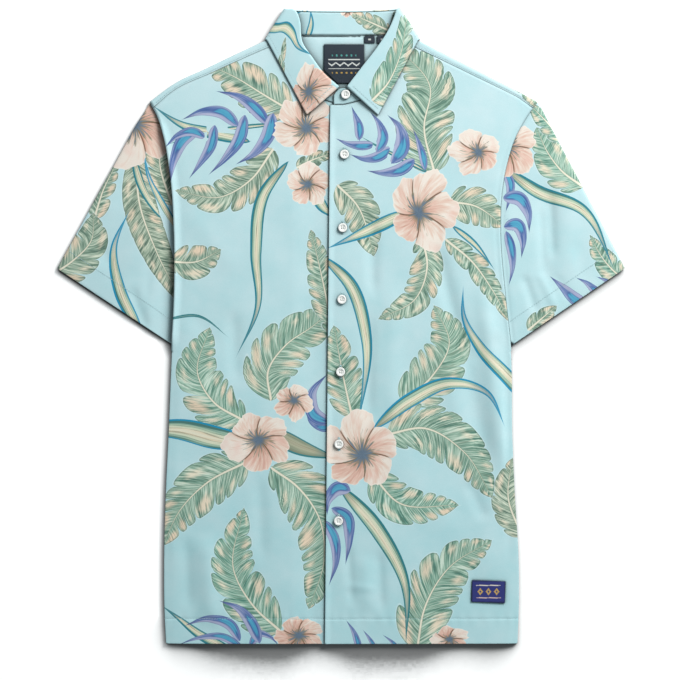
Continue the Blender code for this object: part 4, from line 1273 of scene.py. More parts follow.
def spine_shape(node, screen):
    """A spine motif's places and sizes, its distance off the spine, and its outline's half width."""
    share, across, clear, count, half, seed = screen_places(node, screen)
    outline = OUTLINES[screen.split("_")[0]]
    away = node("Math.ABSOLUTE", across)
    tip = node("Math.POWER", node("Math.SUBTRACT", 1.0, share), outline.tip)
    width = node("Math.MULTIPLY", node("Math.POWER", share, outline.foot), tip)
    width = node("Math.MULTIPLY", width, outline.rise)
    return share, across, clear, count, half, seed, away, width


def cut_out(node, inside, clear):
    """1 within the outline, with a soft edge, and only where the motif's places hold."""
    shown = node("Math.DIVIDE", inside, EDGE_SOFT, use_clamp=True)
    return node("Math.MULTIPLY", shown, node("Math.GREATER_THAN", clear, 0.0))


def discharged(node, inside, clear, under):
    """The ground a little paler within 1.4 mm outside a motif, where the screens don't quite meet."""
    near = node("Math.MULTIPLY_ADD", inside, 0.8, 1.12, use_clamp=True)
    near = node("Math.MULTIPLY", near, node("Math.GREATER_THAN", clear, 0.0))
    return layered(node, under, [(near, 0.5, "#e2f4f5")])


def paint_leaves(node, screen, under):
    """Torn banana leaves: lobes at a slant to the midrib, cut apart at their rims, with fine veins,
    cream and peach in the lobes' middles, dark rims and a pale midrib."""
    share, across, clear, count, half, seed, away, width = spine_shape(node, screen)
    side = node("Math.SIGN", across)
    wide = node("Math.MULTIPLY", away, half)
    # Lobe coordinate: veins run outwards and forwards, each side and leaf with its own start
    lobes = node("Math.MULTIPLY", share, count)
    for place, step in ((wide, -0.034), (side, 0.31), (seed, 0.37)):
        lobes = node("Math.MULTIPLY_ADD", place, step, lobes)
    swing = node("Math.SINE", node("Math.MULTIPLY_ADD", lobes, 1.9, seed))
    lobes = node("Math.MULTIPLY_ADD", swing, 0.3, lobes)
    gap = node("Math.PINGPONG", lobes, 0.5)
    key = node("Math.MULTIPLY_ADD", seed, 7.0, node("Math.FLOOR", lobes))
    key = node("Math.MULTIPLY_ADD", side, 300.0, key)
    chance = node("TexWhiteNoise", None, key, noise_dimensions="1D")
    # Each lobe's notch in the outline, round between two lobes
    round_end = node("Math.POWER", node("Math.MULTIPLY_ADD", gap, -2.0, 1.0), 3.4)
    round_end = node("Math.SQRT", node("Math.SUBTRACT", 1.0, round_end))
    notch = node("Math.SUBTRACT", 1.0, round_end)
    depth = node("Math.MULTIPLY_ADD", chance, 0.72, 0.14)
    # A seed over 100 gives a whole, untorn leaf
    whole = node("Math.GREATER_THAN", seed, 100.0)
    depth = node("Math.MULTIPLY", depth, node("Math.MULTIPLY_ADD", whole, -0.9, 1.0))
    reach = node("Math.SUBTRACT", 1.0, node("Math.MULTIPLY", depth, notch))
    inside = node("Math.SUBTRACT", node("Math.MULTIPLY", width, reach), away)
    inside = node("Math.MULTIPLY", inside, half)
    shown = cut_out(node, inside, clear)
    # Veins: noise drawn out along each vein, some ten lines a lobe
    place = node("CombineXYZ", node("Math.MULTIPLY", lobes, 11.0), away, seed)
    vein = node("TexNoise", place, inputs={"Scale": 1.0, "Detail": 2.0, "Roughness": 0.7})
    olive = set_stops(node("ValToRGB", vein), (
        (0.36, "#5e7367"), (0.44, "#869b89"), (0.53, "#b0c0ac"), (0.62, "#d9e1cd")))
    green = set_stops(node("ValToRGB", vein), (
        (0.36, "#52877a"), (0.44, "#7bab99"), (0.53, "#a4cab8"), (0.62, "#cfe6d8")))
    # A seed's last digit makes the leaf greener
    greener = node("Math.FRACT", node("Math.MULTIPLY", seed, 0.1))
    green = node("MixRGB", greener, olive, green)
    # Pale middle of each lobe, between the midrib and the rim, with combed edges
    out = node("Math.DIVIDE", away, width)
    middle = node("Math.ABSOLUTE", node("Math.SUBTRACT", out, 0.62))
    middle = node("Math.MULTIPLY_ADD", middle, -2.3, 1.0, use_clamp=True)
    middle = node("Math.MULTIPLY", node("Math.MULTIPLY", gap, 2.0), middle)
    pale = node("Math.MULTIPLY_ADD", middle, 1.9, node("Math.MULTIPLY_ADD", chance, 0.8, -2.0))
    pale = node("Math.MULTIPLY_ADD", vein, 2.2, pale, use_clamp=True)
    cream = node("MixRGB", chance, "#f0ead3", "#f3dac0")
    # Fine dark veins, some 2 mm apart, over all of it
    place = node("CombineXYZ", node("Math.MULTIPLY", lobes, 24.0), node("Math.MULTIPLY", away, 2.0), seed)
    line = node("TexNoise", place, inputs={"Scale": 1.0, "Detail": 1.0})
    line = node("Math.MULTIPLY_ADD", line, -7.0, 3.35, use_clamp=True)
    # Dark rim and the shade beside each notch
    rim = node("Math.POWER", node("Math.DIVIDE", inside, 1.9, use_clamp=True), 0.6)
    rim = node("Math.SUBTRACT", 1.0, rim)
    shade = node("Math.DIVIDE", node("Math.FRACT", lobes), 0.16, use_clamp=True)
    shade = node("Math.MULTIPLY_ADD", node("Math.SUBTRACT", shade, out), -0.9, -0.36, use_clamp=True)
    # Midrib, thinner to the tip, with a dark line along it
    rib = node("Math.MULTIPLY_ADD", share, -1.5, node("Math.SUBTRACT", 2.1, wide))
    dark = node("Math.ADD", rib, 0.5, use_clamp=True)
    rib = node("Math.MULTIPLY_ADD", rib, 1.6, -0.56, use_clamp=True)
    leaf = layered(node, green, (
        (pale, 0.92, cream), (line, 0.68, "#6a8472"), (rim, 1, "#4b6758"),
        (shade, 1, "#6c7a66"), (dark, 0.45, "#5e7a62"), (rib, 1, "#ece6d2")))
    return node("MixRGB", shown, discharged(node, inside, clear, under), leaf)


def paint_blades(node, screen, under):
    """Long blades: cream middle, olive streaks, teal and bright blue edges, dark foot, blue tip."""
    share, across, clear, count, half, seed, away, width = spine_shape(node, screen)
    inside = node("Math.MULTIPLY", node("Math.SUBTRACT", width, away), half)
    out = node("Math.DIVIDE", across, width)
    length = node("Math.MULTIPLY", share, node("Math.MULTIPLY", count, 0.16))
    place = node("CombineXYZ", node("Math.MULTIPLY", out, 5.5), length, seed)
    streak = node("TexNoise", place, inputs={"Scale": 1.4, "Detail": 2.0, "Roughness": 0.6})
    band = node("Math.ABSOLUTE", node("Math.ADD", out, 0.12))
    band = node("Math.MULTIPLY_ADD", streak, 0.7, node("Math.SUBTRACT", band, 0.35))
    colour = set_stops(node("ValToRGB", band), (
        (0.02, "#ebe6cf"), (0.14, "#e6d8bc"), (0.18, "#94957f"), (0.23, "#e2e2c9"), (0.40, "#d0dcc2"),
        (0.45, "#74917f"), (0.51, "#bdd3ba"), (0.64, "#8aaf9f"), (0.74, "#4f7b74")))
    foot = node("Math.MULTIPLY_ADD", share, -5.0, 0.8, use_clamp=True)
    # A seed over 100 gives a dark olive blade
    dark = node("Math.GREATER_THAN", seed, 100.0)
    # Teal or blue lines along both rims, some 1.6 mm wide: a seed's last digit makes them bluer
    wide = node("Math.MULTIPLY_ADD", out, 0.5, 2.3)
    rim = node("Math.MULTIPLY", node("Math.SUBTRACT", wide, inside), 2.0, use_clamp=True)
    bluer = node("Math.FRACT", node("Math.MULTIPLY", seed, 0.1))
    end = node("Math.MULTIPLY_ADD", share, 5.0, -3.1, use_clamp=True)
    rim = node("Math.MAXIMUM", rim, node("Math.MULTIPLY", end, 0.75))
    blade = layered(node, colour, (
        (foot, 1, "#56705f"), (dark, 0.72, node("MixRGB", streak, "#505e4e", "#b9b597")),
        (rim, 0.92, node("MixRGB", bluer, "#2a7f88", "#1796c2"))))
    return node("MixRGB", cut_out(node, inside, clear), under, blade)


def paint_bracts(node, screen, under):
    """Heliconia bracts: purple claws with a bright blue heart, a pale inner side and a dark tip."""
    share, across, clear, _, half, seed, away, width = spine_shape(node, screen)
    inside = node("Math.MULTIPLY", node("Math.SUBTRACT", width, away), half)
    out = node("Math.DIVIDE", across, width)
    place = node("CombineXYZ", node("Math.MULTIPLY", out, 2.0), share, seed)
    streak = node("TexNoise", place, inputs={"Scale": 2.2, "Detail": 2.0, "Roughness": 0.6})
    colour = set_stops(node("ValToRGB", streak), (
        (0.30, "#45629c"), (0.44, "#627ab0"), (0.56, "#8493bd"), (0.72, "#b2bbd2")))
    outer = node("Math.MULTIPLY_ADD", out, 3.0, 1.5, use_clamp=True)
    inner = node("Math.SUBTRACT", 0.75, outer, use_clamp=True)
    # The heart is an oval a quarter of the way up, with a streaked edge and a darker border
    along = node("Math.MULTIPLY_ADD", share, 4.6, -1.242)
    sideways = node("Math.MULTIPLY_ADD", out, 1.9, -0.19)
    heart = node("VectorMath.LENGTH", node("CombineXYZ", along, sideways, 0.0)).outputs["Value"]
    heart = node("Math.MULTIPLY_ADD", streak, 1.6, node("Math.SUBTRACT", 0.1, heart))
    border = node("Math.MULTIPLY_ADD", heart, 4.0, 1.0, use_clamp=True)
    heart = node("Math.MULTIPLY", heart, 5.0, use_clamp=True)
    rim = node("Math.MULTIPLY_ADD", inside, -1 / 1.2, 1.0, use_clamp=True)
    end = node("Math.MULTIPLY_ADD", share, 5.0, -3.6, use_clamp=True)
    bract = layered(node, colour, (
        (inner, 1, "#bcbed8"), (border, 0.7, "#3d649f"),
        (heart, 1, node("MixRGB", streak, "#2786b8", "#6fbdd3")),
        (rim, 0.75, "#4a6199"), (end, 0.85, "#3b4c86")))
    return node("MixRGB", cut_out(node, inside, clear), under, bract)


def paint_flowers(node, screen, under):
    """Hibiscus: five ruffled petals from cream to peach with radial streaks, a brown line and a
    shade where one petal lies over the next, a cream rim and a slate throat with spikes."""
    x, y, clear, radius, _, seed = screen_places(node, screen)
    away = node("VectorMath.LENGTH", node("CombineXYZ", x, y, 0.0)).outputs["Value"]
    petal = node("Math.MULTIPLY", node("Math.ARCTAN2", y, x), 5 / (2 * math.pi))
    for place, step in ((away, 0.35), (seed, 0.23)):
        petal = node("Math.MULTIPLY_ADD", place, step, petal)
    gap = node("Math.PINGPONG", petal, 0.5)
    number = node("Math.FLOORED_MODULO", node("Math.FLOOR", petal), 5.0)
    key = node("Math.MULTIPLY_ADD", seed, 5.0, number)
    chance = node("TexWhiteNoise", None, key, noise_dimensions="1D")
    place = node("CombineXYZ", x, y, seed)
    ruffle = node("TexNoise", place, inputs={"Scale": 3.4, "Detail": 1.5, "Roughness": 0.5})
    # Petal reach: round lobes, some longer, with a ruffled rim
    reach = node("Math.POWER", node("Math.MULTIPLY", gap, 2.0), 0.45)
    reach = node("Math.MULTIPLY_ADD", reach, 0.30, 0.45)
    reach = node("Math.MULTIPLY_ADD", ruffle, 0.34, reach)
    reach = node("Math.MULTIPLY_ADD", chance, 0.14, reach)
    inside = node("Math.MULTIPLY", node("Math.SUBTRACT", reach, away), radius)
    # Radial streaks
    ray = node("CombineXYZ", node("Math.MULTIPLY", petal, 5.5), away, seed)
    streak = node("TexNoise", ray, inputs={"Scale": 1.9, "Detail": 2.5, "Roughness": 0.6})
    tone = node("Math.MULTIPLY_ADD", away, 0.5, node("Math.MULTIPLY_ADD", chance, 0.55, -0.65))
    tone = node("Math.MULTIPLY_ADD", streak, 1.5, tone)
    colour = set_stops(node("ValToRGB", tone), (
        (0.12, "#c89a88"), (0.30, "#dbb2a2"), (0.48, "#e5c3b3"), (0.66, "#ebd5c6"), (0.85, "#f2e7dc")))
    blush = node("Math.MULTIPLY_ADD", ruffle, 3.0, -1.4, use_clamp=True)
    # Shade and brown line at each overlap
    turned = node("Math.FRACT", petal)
    shade = node("Math.MULTIPLY_ADD", turned, -1 / 0.22, 1.0, use_clamp=True)
    line = node("Math.MULTIPLY", node("Math.MULTIPLY", gap, away), radius)
    line = node("Math.SUBTRACT", 0.95, line, use_clamp=True)
    faded = node("Math.MULTIPLY_ADD", away, -2.4, 2.448, use_clamp=True)
    line = node("Math.MULTIPLY", line, node("Math.MULTIPLY", faded, 1.5))
    rim = node("Math.MULTIPLY_ADD", inside, -1 / 1.6, 1.0, use_clamp=True)
    # Throat with spikes round a disc, olive outside and slate inside
    spikes = node("Math.MULTIPLY_ADD", streak, 1.5, node("Math.SUBTRACT", -0.38, away))
    throat = []
    for shorter, disc, sharp in ((0.0, 0.29, 8.0), (0.15, 0.2, 10.0)):
        ends = node("Math.SUBTRACT", spikes, shorter)
        made = node("Math.MAXIMUM", ends, node("Math.SUBTRACT", disc, away))
        throat.append(node("Math.MULTIPLY", made, sharp, use_clamp=True))
    flower = layered(node, colour, (
        (blush, 0.35, "#ecb5a8"), (shade, 0.42, "#c9987f"), (line, 1, "#7a5c49"), (rim, 0.8, "#fbf3e8"),
        (throat[0], 0.8, "#7d7a5f"), (throat[1], 1, node("MixRGB", streak, "#3d4f62", "#7f93a6"))))
    return node("MixRGB", cut_out(node, inside, clear), under, flower)


PAINTERS = {"leaf": paint_leaves, "blade": paint_blades, "bract": paint_bracts, "flower": paint_flowers}


def printed_cotton(name, through_cloth):
    """Cotton poplin, plain woven and pressed: matte, with a faint fuzz, and screen prints that sink
    into the cloth. The inner side shows the same print, paler by the share through_cloth."""
    finish, node, shader = new_finish(name)
    cloth = node("Attribute", attribute_name="cloth").outputs["Vector"]
    # Ground dye, uneven over some 40 mm, with a painted shade that makes it a little fuller and darker
    # towards the hem
    mottle = node("TexNoise", cloth, inputs={"Scale": 0.025, "Detail": 3.0, "Roughness": 0.6})
    length = node("SeparateXYZ", cloth).outputs["Y"]
    mottle_and_hem_shade = node("Math.MULTIPLY_ADD", length, -0.0006, node("Math.MULTIPLY_ADD", mottle, 1.1, -0.2))
    ground = node("MixRGB", mottle_and_hem_shade, "#cae5ea", "#a8d9df")
    paint_now = ground
    for screen in SCREENS:
        paint_now = PAINTERS[screen.split("_")[0]](node, screen, paint_now)
    paint_now = node("MixRGB", through_cloth, paint_now, ground)
    weave = plain_weave(node, cloth, COTTON_WEAVE)
    slub = node("TexNoise", cloth, inputs={"Scale": 0.9, "Detail": 4.0, "Roughness": 0.7})
    fleck = node("Math.MULTIPLY_ADD", slub, 0.22, 0.89)
    fleck = node("Math.MULTIPLY_ADD", weave, 0.03, fleck)
    fleck_and_shade = node("MixRGB", 1.0, paint_now, fleck, blend_type="MULTIPLY")
    # Painted shade: the colour is darkened where layers meet, as little light reaches the cloth there
    open_sky = node("AmbientOcclusion", samples=8, inputs={"Distance": 18 * MM}).outputs["AO"]
    fleck_and_shade = node("MixRGB", 1.0, fleck_and_shade, node("Math.POWER", open_sky, 1.9), blend_type="MULTIPLY")
    relief = node("Math.MULTIPLY_ADD", slub, 0.6, node("Math.MULTIPLY", weave, 0.25))
    bump = node("Bump", inputs={"Strength": 0.35, "Distance": 0.12 * MM, "Height": relief})
    feed(shader, {"Base Color": fleck_and_shade, "Normal": bump, "Roughness": 0.86, "Specular IOR Level": 0.25,
                  "Sheen Weight": 0.12, "Sheen Roughness": 0.5})
    return finish


def plain_finish(name, code, roughness, specular=0.3):
    """A finish of one colour, broken up by fine noise, 1 mm in size, in colour and relief."""
    finish, node, shader = new_finish(name)
    where = node("TexCoord").outputs["Object"]
    noise = node("TexNoise", where, inputs={"Scale": 0.9 / MM, "Detail": 3.0})
    fleck = node("Math.MULTIPLY_ADD", noise, 0.16, 0.92)
    colour = node("MixRGB", 1.0, code, fleck, blend_type="MULTIPLY")
    bump = node("Bump", inputs={"Strength": 0.3, "Distance": 0.05 * MM, "Height": noise})
    feed(shader, {"Base Color": colour, "Normal": bump, "Roughness": roughness,
                  "Specular IOR Level": specular})
    return finish


def woven_label(name):
    """Damask-woven polyester label: fine threads with a faint shine, colours from its ornament."""
    finish, node, shader = new_finish(name)
    colour = node("Attribute", attribute_name="weave").outputs["Color"]
    cloth = node("Attribute", attribute_name="cloth").outputs["Vector"]
    weave = plain_weave(node, cloth, LABEL_WEAVE)
    fleck = node("Math.MULTIPLY_ADD", weave, 0.10, 0.95)
    fleck_and_shade = node("MixRGB", 1.0, colour, fleck, blend_type="MULTIPLY")
    bump = node("Bump", inputs={"Strength": 0.4, "Distance": 0.1 * MM, "Height": weave})
    feed(shader, {"Base Color": fleck_and_shade, "Normal": bump, "Roughness": 0.6})
    return finish


# ---------------------------------------------------------------------------------------------
# Stitching: joined short capsules along lines on the cloth

# Rings of a capsule: how far along its length, and how wide for its radius
CAPSULE = ((-0.5, 0.35), (-0.36, 1.0), (0.36, 1.0), (0.5, 0.35))
CAPSULE_SIDES = 5
# How far a stitch's middle lies above the cloth's face
STITCH_OUT = 0.04


def paced(line, pitch):
    """Points along a line, one in the middle of each pitch, and the line's direction there."""
    step = np.linalg.norm(np.diff(line, axis=0), axis=1)
    way = np.concatenate([[0], np.cumsum(step)])
    at = np.arange(pitch / 2, way[-1], pitch)
    point = np.stack([np.interp(at, way, line[:, axis]) for axis in range(3)], axis=-1)
    k = np.clip(np.searchsorted(way, at) - 1, 0, len(step) - 1)
    return point, unit(line[k + 1] - line[k])


def capsules(points, runs, length, radius):
    """Corners and faces of a capsule at each point, lying along its run."""
    side = unit(np.cross(UP, runs))
    up = np.cross(runs, side)
    ring = np.array(CAPSULE)
    angle = np.arange(CAPSULE_SIDES) * 2 * math.pi / CAPSULE_SIDES
    around = side[:, None] * np.cos(angle)[:, None] + up[:, None] * np.sin(angle)[:, None]
    corners = points[:, None, None] + runs[:, None, None] * (ring[:, 0] * length)[None, :, None, None]
    corners = corners + around[:, None] * (ring[:, 1] * radius)[None, :, None, None]
    count, rings, sides = corners.shape[:3]
    index = np.arange(count * rings * sides).reshape(count, rings, sides)
    ahead = np.roll(index, -1, axis=2)
    quads = np.stack([index[:, :-1], ahead[:, :-1], ahead[:, 1:], index[:, 1:]], axis=-1)
    caps = np.concatenate([index[:, 0, ::-1], index[:, -1]])
    return corners.reshape(-1, 3), quads.reshape(-1, 4).tolist() + caps.tolist()


def add_threads(name, parts, finish):
    """One piece of all the capsules in parts: each (points, runs, length, radius)."""
    corners, faces = [], []
    for part in parts:
        places, its_faces = capsules(*part)
        first = sum(len(each) for each in corners)
        corners.append(places)
        faces += [[first + corner for corner in face] for face in its_faces]
    mesh = bpy.data.meshes.new(name)
    mesh.from_pydata(np.concatenate(corners) * MM, [], faces)
    mesh.shade_smooth()
    return show(name, mesh, [finish])


def stitched(line, wall=CLOTH, face=1):
    """A stitched line: its capsules lie half sunk in the cloth's upper (1) or lower (-1) face."""
    points, runs = paced(np.asarray(line, float), STITCH_PITCH)
    return points + UP * face * (wall / 2 + STITCH_OUT), runs, STITCH_LENGTH, STITCH_RADIUS


def inset_line(points, ends, distance):
    """Line that keeps a distance from the points, towards their partners in ends."""
    return points + unit(ends - points) * distance


def seam_lines(side):
    """Topstitching of one side: hem, sleeve hem, collar edge and wing, and the shoulder strip."""
    lap = FRONT_LAP + 9 if side == "left" else FRONT_SLANT + 0.9 * FRONT_LAP
    x = np.linspace(COLLAR_X - lap, float(edge_x(side, HEM_Y + HEM_DEPTH)) - SIGN[side], 300)
    y = hem_y(x) + HEM_DEPTH
    lines = [stitched(raised(plan(x, y), front_surface(side, x, y)))]
    grid, _ = sleeve_lines(side)
    row = inset_line(grid[-1], grid[0], SLEEVE_HEM_DEPTH)
    lines.append(stitched(raised(row, sleeve_levels(side, row[:, 0], row[:, 1])[0])))
    rolled, out = fall_half(side, np.linspace(0, 1, 40)[1:])
    front = slice(STEPS["collar_back"] + STEPS["collar_turn"] // 2, -6)
    lines.append(stitched(inset_line(out[-1], rolled[-1], EDGE_STITCH)[front], COLLAR_CLOTH))
    lines.append(stitched(inset_line(out[:, -1], out[:, -30], EDGE_STITCH)[2:-4], COLLAR_CLOTH))
    share = np.linspace(0.02, 0.98, 60)
    strip = front_yoke_edge(side, share) + shoulder(side, share)[1] * 2
    lines.append(stitched(raised(strip, FRONT_Z - 0.05)))
    return lines


# A buttonhole's slit, its bars beside it and its tacks across its ends
HOLE_HALF = 7.5
BAR_OFF = 0.8
BAR_LENGTH = 1.1
TACKS = np.array([-8.1, -7.7, 7.7, 8.1])
TACK_LENGTH = 2.7


def buttonhole(place):
    """Satin bars at both sides of a slit, with a bar tack at each end, behind a button."""
    x, y, z, _ = place
    bars = np.linspace(-HOLE_HALF, HOLE_HALF, 32)
    made = []
    rows = [(x + side * BAR_OFF, bars, BAR_LENGTH) for side in (-1, 1)] + [(x, TACKS, TACK_LENGTH)]
    for at, ups, length in rows:
        points = raised(plan(at, y + ups), z - 0.5)
        made.append((points, np.tile([1.0, 0.0, 0.0], (len(points), 1)), length, STITCH_RADIUS))
    return made


# A button's strands lie in pairs, just above its dish, from hole to hole
STRAND_RADIUS = 0.2
STRAND_OFF = 0.18
STRAND_ABOVE = 0.15
STRAND_LENGTH = 3.2


def button_thread(place):
    """Four strands over the button: two from hole to hole at either side."""
    x, y, z, _ = place
    half = HOLE_SPACING / 2
    made = []
    for off in (-half - STRAND_OFF, -half + STRAND_OFF, half - STRAND_OFF, half + STRAND_OFF):
        points = np.array([[x + off, y, z + BUTTON_HEIGHT - BUTTON_DISH + STRAND_ABOVE]])
        made.append((points, np.array([[0.0, 1.0, 0.0]]), STRAND_LENGTH, STRAND_RADIUS))
    return made


# ---------------------------------------------------------------------------------------------
# Buttons and labels

BUTTON_PLACES = (
    (5.6, 283.6), (4.2, 210.5), (2.1, 120.7), (1.0, 33.1), (-0.5, -55.4), (-2.6, -143.8), (-3.1, -237.6)
)
BUTTON_RADIUS = 5.5
BUTTON_HEIGHT = 2.3
BUTTON_DISH = 0.6
BUTTON_RIM = 1.7
HOLE_RADIUS = 0.75
HOLE_SPACING = 2.5
HOLE_DEPTH = 1.3
BUTTON_ROUNDING = 0.6


def button_points():
    """Polar grid of a four-hole button: dished top with a rolled rim, round edge, flat underside."""
    inner = np.linspace(0, BUTTON_RADIUS - BUTTON_ROUNDING, 28)
    slope = ease((inner - (BUTTON_RADIUS - BUTTON_RIM - 1.0)) / 1.0)
    top = BUTTON_HEIGHT - BUTTON_DISH * (1 - slope)
    turned = np.linspace(0, math.pi / 2, 6)[1:]
    edge = inner[-1] + BUTTON_ROUNDING * np.sin(turned)
    shoulder_z = BUTTON_HEIGHT - BUTTON_ROUNDING * (1 - np.cos(turned))
    radius = np.concatenate([inner, edge, BUTTON_RADIUS - np.array([0.0, 0.3, 0.6, BUTTON_RADIUS])])
    height = np.concatenate([top, shoulder_z, [0.5, 0.1, 0.0, 0.0]])
    angle = np.linspace(0, 2 * math.pi, 65)
    x, y = radius[:, None] * np.cos(angle), radius[:, None] * np.sin(angle)
    z = np.broadcast_to(height[:, None], x.shape).copy()
    half = HOLE_SPACING / 2
    away = np.hypot(np.abs(x) - half, np.abs(y) - half)
    hole = 1 - ease((away - HOLE_RADIUS * 0.75) / (HOLE_RADIUS * 0.45))
    z[: len(inner)] -= HOLE_DEPTH * hole[: len(inner)]
    return np.stack([x, y, z], axis=-1)


def button_floor():
    """Where each button's underside is, with its tilt about X in degrees: (x, y, z, tilt)."""
    seam, top, _, _, _ = collar_sections("right")
    slope = (top[-1, 2] - seam[-1, 2]) / (top[-1, 1] - seam[-1, 1])
    places = []
    for number, (x, y) in enumerate(BUTTON_PLACES):
        if number:
            level = float(front_level("right", x, y)) + WALL / 2 + GAP
            places.append((x, y, level, 0.0))
        else:
            level = seam[-1, 2] + slope * (y - seam[-1, 1]) + 0.1
            places.append((x, y, level + WALL / 2 + GAP, math.degrees(math.atan(slope))))
    return places


def placed(points, place):
    """Points about the origin tilted about X and moved to a place."""
    tilted = np.concatenate([points[..., :1], spun(points[..., 1:], place[3])], axis=-1)
    return tilted + place[:3]


def add_label(name, grid, painter):
    """A woven label: a fine grid, one corner to some threads, coloured by its painter."""
    patch = Patch(grid, grid[..., :2])
    mesh = joined_mesh(name, [patch], grid[len(grid) // 2, grid.shape[1] // 2])
    chart = read_cloth(mesh)
    colour = mesh.color_attributes.new("weave", "FLOAT_COLOR", "POINT")
    colour.data.foreach_set("color", painter(chart[:, 0], chart[:, 1]).astype(np.float32).ravel())
    walled(show(name, mesh, [LABEL], [name.lower()]), LABEL_CLOTH)


def painted_over(shape, ground):
    """One colour at every place, for an ornament to be painted on."""
    return np.broadcast_to(tint(ground), (*shape, 4)).copy()


# How far a label lies above the cloth under it, past the gap between the walls
LABEL_LIFT = 0.6
NeckLabel = namedtuple("NeckLabel", "x top shoulder bottom half low_half")
NECK_LABEL = NeckLabel(3.8, 345.0, 314.0, 298.0, 24.5, 8.0)


def neck_label_grid():
    """Label at the back of the neck: square above, narrowing below its shoulders."""
    label = NECK_LABEL
    heights = np.linspace(label.top, label.bottom, 76)[:, None]
    width = np.interp(heights, (label.bottom, label.shoulder), (label.low_half, label.half))
    grid = plan(label.x + width * np.linspace(-1, 1, 80), heights)
    return raised(grid, yoke_level(grid[..., 0], grid[..., 1]) + WALL / 2 + GAP + LABEL_LIFT + 0.1)


def paint_neck_label(x, y):
    """Plain ornament on navy: a white zigzag between two lines, teal dots above, gold ones below."""
    colour = painted_over(x.shape, "#1c2a38")
    u, v = x - NECK_LABEL.x, y - 321
    # A zigzag 3.6 mm high, with bends 5 mm apart, between lines 11 mm apart; dots each 6 mm
    zigzag = np.abs(v + 1.8 - 3.6 * np.abs(u / 5 % 2 - 1)) < 0.8
    lines = np.abs(np.abs(v) - 5.5) < 0.4
    colour[(zigzag | lines) & (np.abs(u) < 19)] = tint("#e6e9e6")
    for up, code in ((10.5, "#4fa39c"), (-10.5, "#c9a24e")):
        dots = np.hypot(u % 6 - 3, v - up) < 1.2
        colour[dots & (np.abs(u) < 15)] = tint(code)
    return colour


HemLabel = namedtuple("HemLabel", "x y width height degrees")
HEM_LABEL = HemLabel(180.2, -323.9, 41.0, 26.5, -2.5)


def hem_label_grid():
    """Label near the hem: an upright grid, turned a little and laid on the front."""
    label = HEM_LABEL
    across = np.linspace(-label.width / 2, label.width / 2, 72)[None, :]
    up = np.linspace(label.height / 2, -label.height / 2, 48)[:, None]
    grid = spun(plan(across, up), label.degrees) + (label.x, label.y)
    level = front_level("right", grid[..., 0], grid[..., 1])
    return raised(grid, level + WALL / 2 + GAP + LABEL_LIFT)


def paint_hem_label(x, y):
    """Plain ornament on blue: a row of three gold diamonds between a cream and a peach line."""
    colour = painted_over(x.shape, "#27307a")
    u, v = x - HEM_LABEL.x, y - HEM_LABEL.y
    # Hollow diamonds 6.8 by 8.8 mm, one each 10 mm
    diamond = np.abs((u + 5) % 10 - 5) / 3.4 + np.abs(v) / 4.4
    colour[(diamond < 1) & (diamond > 0.4) & (np.abs(u) < 15)] = tint("#c9a45c")
    for up, code in ((7.6, "#efe6d6"), (-7.6, "#e8c9c0")):
        colour[(np.abs(v - up) < 0.5) & (np.abs(u) < 15)] = tint(code)
    edge = (np.abs(u) > HEM_LABEL.width / 2 - 1.1) | (np.abs(v) > HEM_LABEL.height / 2 - 1.1)
    colour[edge] = tint("#1d2459")
    return colour


# Middles of the two tabs, and what they measure
SIZE_TABS = (35.0, 50.3)
TAB_HALF = 6.2
TAB_TOP = 355.4
TAB_BOTTOM = 346.8


def tab_grid(centre):
    """A small upright grid, flat on the yoke below the neck seam."""
    x = np.linspace(centre - TAB_HALF, centre + TAB_HALF, 24)[None]
    grid = plan(x, np.linspace(TAB_TOP, TAB_BOTTOM, 18)[:, None])
    return raised(grid, NECK_Z + WALL / 2 + GAP + 0.5)


def paint_tab(centre, x, y):
    """Plain mark on navy: one pale bar."""
    colour = painted_over(x.shape, "#1c2a38")
    colour[(np.abs(x - centre) < 1.8) & (np.abs(y - 351) < 1.1)] = tint("#c9cecb")
    return colour


# ---------------------------------------------------------------------------------------------
# The dressed shirt

OUTER = printed_cotton("Printed cotton, outer side", 0.0)
INNER = printed_cotton("Printed cotton, inner side", 0.35)
# Spun polyester, twisted: a soft sheen, in the ground's own colour, so that the seams stay quiet
THREAD = plain_finish("Aqua polyester sewing thread", "#b9dbe0", 0.6)
WHITE_THREAD = plain_finish("White button thread", "#dfe3e0", 0.6)
# Cast resin, tumbled smooth: milky, with a small bright highlight on the rim
RESIN = plain_finish("Polyester resin, polished off-white", "#fafaf7", 0.25, 0.4)
LABEL = woven_label("Woven damask, navy")

BACK_PRINT = [row for group in BACK_GROUPS for row in moved(motifs(group.panel), group)]
# The shoulders' strips are bare but for what the front shows
YOKE_PRINT = [row for row in BACK_PRINT if highest(row) > STRIP_FREE]

for side in SIGN:
    patches = front_patches(side)
    front = add_cloth("Front_" + side, patches, patches[0].points[120, 40], motifs("front_" + side))
    patches = sleeve_patches(side)
    sleeve = add_cloth("Sleeve_" + side, patches, patches[0].points[30, 60], motifs("sleeve_" + side))

back = add_cloth("Back", back_patches(), (0, -100, BACK_Z), BACK_PRINT, up=-1)
yoke = add_cloth("Yoke", yoke_patches(), (0, 260, BACK_Z), YOKE_PRINT, up=-1)

patch = collar_patch(stand_grid())
probe = patch.points[6, patch.points.shape[1] // 2]
stand = add_cloth("Collar_stand", [patch], probe, motifs("collar"), COLLAR_CLOTH, [OUTER])
patch = collar_patch(fall_grid())
fall = add_cloth("Collar_fall", [patch], patch.points[20, 20], motifs("collar"), COLLAR_CLOTH, [OUTER])

